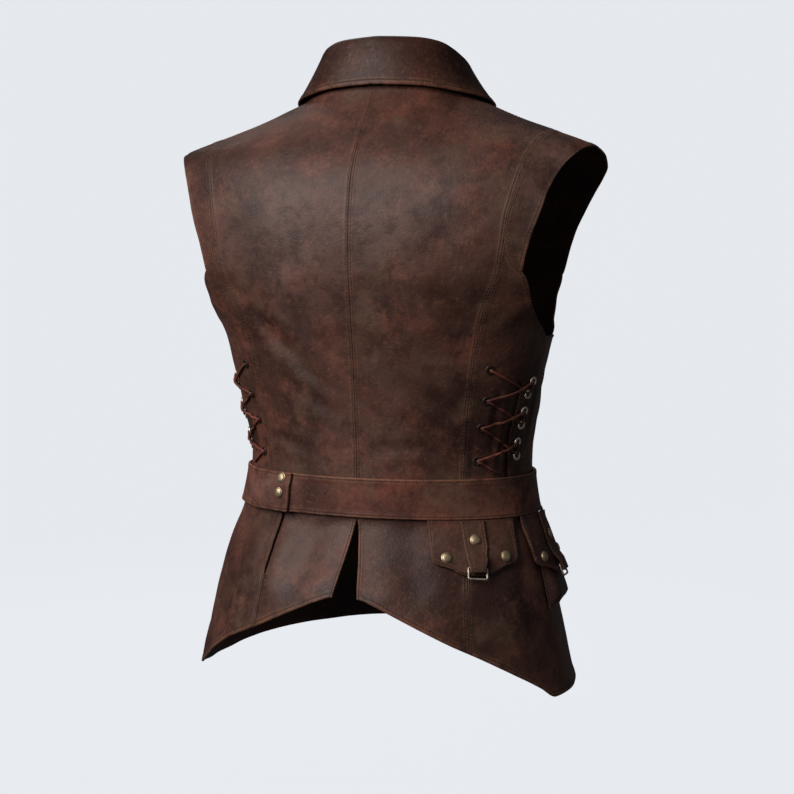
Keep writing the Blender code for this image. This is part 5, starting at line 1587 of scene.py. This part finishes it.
class VEST_OT_belt(Operator):
    """Make the belt, its end piece, buckle and rivets"""

    bl_idname = "vest.belt"
    bl_label = "Belt"

    def execute(self, context):
        brass, thread = looks()["brass"], Thread()

        def belt_lift(turn, z):
            return body_surface(turn, z) + LAYER_GAP + BELT_LEATHER

        for name, node, start, end, lift in (
            ("belt_leather", "belt", BELT_START_TURN, BELT_END_TURN, belt_lift),
            ("belt_end_leather", "belt_end_piece", END_PIECE_TURN, BELT_JOINT_TURN, end_piece_lift),
        ):
            turns = np.linspace(start, end, BELT_STATIONS)
            places = ruled(line_of(turns, BELT_BOTTOM), line_of(turns, BELT_TOP), NARROW_RINGS)
            leather_wall(
                name, node, places, lift, BELT_LEATHER, looks()["belt"], thread,
                dict.fromkeys(("left", "right"), STRAP_STITCH), dict.fromkeys(SIDES, 1.0),
            )
        sew("belt_stitches", thread)
        for k, place in enumerate(BELT_RIVETS, 1):
            rivet(f"belt_rivet_cap_{k}", f"belt_rivet_{k}", *place, end_piece_lift, BELT_RIVET_GAP)
        # Dark discs: painted shade in the belt's holes.
        for k, (turn, z) in enumerate(BELT_HOLES, 1):
            place = spot(turn, z, belt_lift, GAP)
            look = looks()["dark"]
            revolved(f"belt_hole_shade_{k}", place, HOLE, look, segments=HOLE_SEGMENTS)
        z = (BELT_TOP + BELT_BOTTOM) / 2
        lift = body_surface(180.0, z) + 2 * LAYER_GAP + BELT_LEATHER
        place = spot(180.0, z, lift, LAYER_GAP)
        out = buckle(
            "belt_buckle", "belt_buckle_frame", place, BELT_BUCKLE_HALF, BELT_BUCKLE_CORNER,
            BELT_BUCKLE_BAR, BELT_BUCKLE_BEND, brass, 16,
        )
        half = BELT_BUCKLE_HALF[0] + PRONG_RADIUS
        x = np.linspace(-half, half, PRONG_POINTS)
        height = BELT_BUCKLE_BAR + GAP + PRONG_RADIUS - x * x / (2.0 * BELT_BUCKLE_BEND)
        points = [tuple(place @ Vector((a, 0.0, h))) for a, h in zip(x, height)]
        radii = blend(PRONG_RADIUS, PRONG_RADIUS * PRONG_TAPER, np.linspace(0.0, 1.0, PRONG_POINTS))
        outs = [out] * PRONG_POINTS
        swept("belt_prong", "belt_buckle_prong", points, outs, radii, radii, brass)
        return {"FINISHED"}


def end_piece_lift(turn, z):
    over_belt = (BELT_LEATHER + LAYER_GAP) * (1.0 - ramp(turn, *END_PIECE_FADE))
    return body_surface(turn, z) + LAYER_GAP + BELT_LEATHER + over_belt


def pouch_rise(turn, z, spread=0.0):
    """How far the pouch's face stands off the skirt, and what hangs over it with a spread."""
    (first, last), (low, high) = POUCH_TURNS, POUCH_HEIGHTS
    across = (turn - first) / (last - first)
    up = (z - low) / (high - low)
    near, far = (ramp(share, -spread, POUCH_SIDE_SLOPE) for share in (across, 1.0 - across))
    mouth = blend(1.0, POUCH_MOUTH, ramp(up, *POUCH_MOUTH_FADE))
    above = 1.0 - ramp(up, *POUCH_TOP_FADE)
    return POUCH_DEPTH * near * far * mouth * ramp(up, 0.0, POUCH_FOOT_SLOPE) * above


def flap_place(flap, across, drop):
    """Places so many metres across from a flap's middle and down from its top."""
    z = FLAP_TOP - drop
    return np.stack([walk(FLAPS[flap][0], z, across), z], -1)


def flap_lift(flap):
    """The rule of a flap's outer face."""
    drop_at_edge = FLAP_EDGE[4, 1] * FLAPS[flap][2]

    def lift(turn, z):
        rise = FLAP_EDGE_RISE * ramp(FLAP_TOP - z, 0.0, drop_at_edge)
        if flap == "side":
            rise = rise + pouch_rise(turn, z, POUCH_FLAP_SPREAD) + POUCH_LEATHER + LAYER_GAP
        return FLAP_CLEARANCE + LEATHER + rise

    return lift


def strap_lift(flap):
    """The rule of a strap's outer face: flat on the flap, then over the buckle's top bar."""
    under = flap_lift(flap)
    bar = FLAP_TOP - (STRAP_BUCKLE_DROP - STRAP_BUCKLE_HALF[1]) * FLAPS[flap][2]

    def lift(turn, z):
        over_bar = STRAP_BUCKLE_RISE * ramp(z, *(bar + above for above in STRAP_RISE_ABOVE_BAR))
        return under(turn, z) + STRAP_GAP + STRAP_LEATHER + over_bar

    return lift


class VEST_OT_flaps(Operator):
    """Make the pocket flaps, their straps, rivets and buckles, and the pouch"""

    bl_idname = "vest.flaps"
    bl_label = "Flaps and pouch"

    def execute(self, context):
        leather, thread = looks()["vest"], Thread()
        up = np.linspace(*POUCH_HEIGHTS, POUCH_STATIONS)
        edges = [line_of(turn, up) for turn in POUCH_TURNS]
        leather_wall(
            "pouch_leather", "pouch_side", ruled(*edges),
            lambda t, z: pouch_rise(t, z) + LAYER_GAP + POUCH_LEATHER, POUCH_LEATHER, leather, thread,
            dict.fromkeys(("low", "left", "right"), EDGE_STITCH), dict.fromkeys(SIDES, 0.2),
        )
        for flap in FLAPS:
            self.hang(flap, leather, thread)
        self.cross(thread)
        sew("flap_stitches", thread)
        return {"FINISHED"}

    def hang(self, flap, leather, thread):
        """One flap with its strap, rivets and buckle."""
        _, half_width, reach = FLAPS[flap]
        across = ring_shares(2 * half_width, NARROW_RINGS)[0] * 2.0 - 1.0
        drop = column(FLAP_EDGE, 1, across) * reach
        down = ring_shares(FLAP_DEPTH, NARROW_RINGS)[0]
        drop = blend(-TOP_REACH, drop[None], down[:, None])
        places = flap_place(flap, across[None] * half_width, drop)
        leather_wall(
            f"flap_leather_{flap}", f"flap_{flap}", places, flap_lift(flap), LEATHER, leather, thread,
            dict.fromkeys(SIDES[1:], STRAP_STITCH), dict.fromkeys(SIDES[1:], 0.6),
        )
        drops = ring_shares(STRAP_WIDTHS[-1, 0], NARROW_RINGS)[0] * STRAP_WIDTHS[-1, 0]
        half = column(STRAP_WIDTHS, 1, drops)
        wide = ring_shares(STRAP_FULL_WIDTH, NARROW_RINGS)[0] * 2.0 - 1.0
        drop = STRAP_TOP_DROP + drops * reach - TOP_REACH * (1.0 - drops / drops[-1])
        places = flap_place(flap, half[:, None] * wide[None], drop[:, None] + 0.0 * wide[None])
        leather_wall(
            f"strap_leather_{flap}", f"strap_{flap}", places, strap_lift(flap), STRAP_LEATHER,
            leather, thread,
            dict.fromkeys(("left", "right"), STRAP_STITCH), dict.fromkeys(SIDES[1:], 0.6),
        )
        for label, (across_at, drop_at) in FLAP_RIVETS.items():
            place = flap_place(flap, across_at * half_width, drop_at * reach)
            under = strap_lift(flap) if across_at == 0.0 else flap_lift(flap)
            rivet(f"rivet_cap_{flap}_{label}", f"rivet_{flap}_{label}", *place, under, GAP)
        place = flap_place(flap, 0.0, STRAP_BUCKLE_DROP * reach)
        buckle(
            f"small_buckle_{flap}", f"strap_buckle_{flap}", spot(*place, flap_lift(flap), LAYER_GAP),
            STRAP_BUCKLE_HALF, STRAP_BUCKLE_CORNER, STRAP_BUCKLE_BAR, STRAP_BUCKLE_BEND,
            looks()["pale"], 12,
        )

    def cross(self, thread):
        """The crossed stitches on the back flap's strap."""
        for slant in (-1.0, 1.0):
            ends = np.array([
                flap_place("back", CROSS_HALF * step * slant, CROSS_DROP + CROSS_HALF * step)
                for step in (-1.0, 1.0)
            ])
            thread.single(skin(*ends.T, strap_lift("back")(*ends.T)), outward(*ends.T))


class VEST_OT_lacing(Operator):
    """Make the laces and the eyelets on both sides"""

    bl_idname = "vest.lacing"
    bl_label = "Lacing"

    def execute(self, context):
        for side, label in WEARER_SIDES:
            self.lace(side, label)
            rows = (("front", LACE_FRONT_ROW, "eyelet"), ("rear", LACE_BACK_ROW, "dark"))
            for row_name, row, look in rows:
                for k, (turn, z) in enumerate(row, 1):
                    node = f"eyelet_{label}_{k}" if row_name == "front" else None
                    place = spot(side * turn, z, 0.0, GAP)
                    revolved(
                        f"eyelet_{row_name}_{label}_{k}", place, self.profile(), looks()[look],
                        node, EYELET_SEGMENTS,
                    )
        return {"FINISHED"}

    def profile(self):
        """Closed outline of an eyelet's section, round on top."""
        middle, half = (EYELET_HOLE + EYELET_RADIUS) / 2, (EYELET_RADIUS - EYELET_HOLE) / 2
        rows = [(EYELET_HOLE, EYELET_SUNK), (EYELET_RADIUS, 0.0)]
        for k in range(EYELET_STEPS + 1):
            angle = math.radians(180.0 * k / EYELET_STEPS)
            rows.append((middle + half * math.cos(angle), EYELET_RIM + EYELET_HEIGHT * math.sin(angle)))
        return rows

    def lace(self, side, label):
        """A lace through the eyelets, from hole to hole over the slit."""
        stops = [LACE_BACK_ROW[0]]
        for k in range(3):
            stops += [LACE_FRONT_ROW[2 * k + 1], LACE_FRONT_ROW[2 * k], LACE_BACK_ROW[k + 1]]
        stops.append(LACE_END)
        places, lifts = [], []
        for start, end in zip(stops, stops[1:]):
            length = math.hypot((start[0] - end[0]) * METRES_PER_DEGREE, start[1] - end[1])
            t = np.linspace(0.0, 1.0, max(int(length / LACE_STEP), 4), endpoint=False)
            arch = np.minimum(1.0, np.minimum(t, 1.0 - t) * length / LACE_HOLE_RUN)
            crossing = 1.0 if end in LACE_BACK_ROW else 0.0
            lift = blend(LACE_HOLE_LIFT, LACE_FLAT_LIFT, np.sin(arch * math.pi / 2))
            lift = lift + crossing * LACE_CROSSING_RISE * np.sin(np.pi * t) ** 2
            places.append(np.stack([blend(start[0], end[0], t), blend(start[1], end[1], t)], -1))
            lifts.append(lift)
        turn, z = mirrored(np.concatenate([*places, [LACE_END]]), side).T
        points = skin(turn, z, np.concatenate([*lifts, [LACE_FLAT_LIFT]]))
        swept(
            f"lace_cord_{label}", f"lace_{label}", points, outward(turn, z),
            LACE_RADIUS * LACE_FLATNESS, LACE_RADIUS, looks()["lace"], LACE_SIDES,
        )


class VEST_OT_buttons(Operator):
    """Make the two columns of front buttons"""

    bl_idname = "vest.buttons"
    bl_label = "Buttons"

    def execute(self, context):
        profile = [(out * BUTTON_RADIUS, up * BUTTON_HEIGHT) for out, up in BUTTON_PROFILE]
        for side, label in WEARER_SIDES:
            for k, (z, spread) in enumerate(zip(BUTTON_HEIGHTS, BUTTON_SPREADS), 1):
                turn = float(walk(180.0, z, -side * spread))
                revolved(
                    f"button_cap_{label}_{k}", spot(turn, z, body_surface, LAYER_GAP), profile,
                    looks()["brass"], f"button_{label}_{k}", BUTTON_SEGMENTS,
                )
        return {"FINISHED"}


class VEST_OT_stage(Operator):
    """Make the floor, backdrop, lights and camera"""

    bl_idname = "vest.stage"
    bl_label = "Stage"

    def execute(self, context):
        settings = context.scene.vest_stage
        floor = settings.floor_drop
        profile = [(0.0, floor), (FLOOR_RADIUS, floor)]
        profile += [
            (FLOOR_RADIUS + FLOOR_CURVE * math.sin(a), floor + FLOOR_CURVE * (1.0 - math.cos(a)))
            for a in np.radians(np.linspace(0.0, 90.0, CURVE_STEPS + 1))[1:]
        ]
        profile.append((FLOOR_RADIUS + FLOOR_CURVE, floor + BACKDROP_HEIGHT))
        angles = [2 * math.pi * k / STAGE_SEGMENTS for k in range(STAGE_SEGMENTS)]
        vertices = [
            (radius * math.cos(angle), radius * math.sin(angle), height)
            for radius, height in profile for angle in angles
        ]
        faces = tube_faces(len(profile), STAGE_SEGMENTS)
        shader = Shader("paper_look")
        shader.finish(Base_Color=(0.02, 0.02, 0.02, 1.0), Roughness=1.0, Specular_IOR_Level=0.0)
        shader.finish(Emission_Color=(*settings.paper, 1.0), Emission_Strength=1.0)
        mesh = bpy.data.meshes.new("stage_floor")
        mesh.from_pydata(vertices, [], faces)
        mesh.shade_smooth()
        mesh.materials.append(shader.material)
        bowl = bpy.data.objects.new("stage_floor", mesh)
        context.scene.collection.objects.link(bowl)
        bowl.visible_diffuse = False
        bowl.visible_glossy = False
        bowl.visible_shadow = False
        self.lights(context, settings)
        self.camera(context)
        return {"FINISHED"}

    def lights(self, context, settings):
        world = bpy.data.worlds.new("soft_sky")
        world.use_nodes = True
        background = world.node_tree.nodes["Background"].inputs
        background["Color"].default_value = SKY_COLOUR
        background["Strength"].default_value = settings.sky
        context.scene.world = world
        left, back, up = (Vector(axis) for axis in LIGHT_AXES)
        for name, ((aside, behind, above), size, power, share, colour) in LIGHTS.items():
            away = left * aside + back * behind + up * above
            data = bpy.data.lights.new(name, "AREA")
            data.energy, data.size, data.color = getattr(settings, power) * share, size, colour
            light = bpy.data.objects.new(name, data)
            light.location = Vector(LIGHT_TARGET) + away
            light.rotation_euler = (-away).to_track_quat("-Z", "Y").to_euler()
            light.visible_glossy = name != "front_light"
            light.visible_diffuse = name != "front_gloss_light"
            context.scene.collection.objects.link(light)

    def camera(self, context):
        data = bpy.data.cameras.new("photo_camera")
        data.lens, data.sensor_width = CAMERA_LENS, CAMERA_SENSOR
        camera = bpy.data.objects.new("photo_camera", data)
        turn, rise = math.radians(CAMERA_TURN), math.radians(CAMERA_RISE)
        level = math.cos(rise)
        back = Vector((-math.sin(turn) * level, math.cos(turn) * level, math.sin(rise)))
        right = Vector((-math.cos(turn), -math.sin(turn), 0.0))
        camera.location = Vector(CAMERA_AIM) + right * CAMERA_RIGHT + back * CAMERA_DISTANCE
        camera.rotation_euler = (-back).to_track_quat("-Z", "Y").to_euler()
        context.scene.collection.objects.link(camera)
        context.scene.camera = camera
        context.scene.view_settings.view_transform = "Standard"


class VEST_PT_panel(Panel):
    """Buttons that make the vest, and the sizes and colours that they use"""

    bl_label = "Leather vest"
    bl_idname = "VEST_PT_panel"
    bl_space_type = "VIEW_3D"
    bl_region_type = "UI"
    bl_category = "Vest"

    def draw(self, context):
        for operator in OPERATORS:
            self.layout.operator(operator.bl_idname)
        for key in GROUPS:
            group = getattr(context.scene, key)
            box = self.layout.box()
            box.label(text=key.replace("vest_", "").capitalize())
            for name in group.__annotations__:
                box.prop(group, name)


OPERATORS = (
    VEST_OT_body, VEST_OT_collar, VEST_OT_belt, VEST_OT_flaps, VEST_OT_lacing, VEST_OT_buttons,
    VEST_OT_stage,
)
GROUPS = {
    "vest_leather": LeatherLook,
    "vest_sewing": Sewing,
    "vest_metals": Metals,
    "vest_stage": Stage,
}
CLASSES = (*GROUPS.values(), *OPERATORS, VEST_PT_panel)


def register():
    for cls in CLASSES:
        bpy.utils.register_class(cls)
    for key, group in GROUPS.items():
        setattr(bpy.types.Scene, key, PointerProperty(type=group))


def unregister():
    for key in GROUPS:
        delattr(bpy.types.Scene, key)
    for cls in reversed(CLASSES):
        bpy.utils.unregister_class(cls)


def main():
    register()
    for operator in OPERATORS:
        group, name = operator.bl_idname.split(".")
        getattr(getattr(bpy.ops, group), name)()


if __name__ == "__main__":
    main()
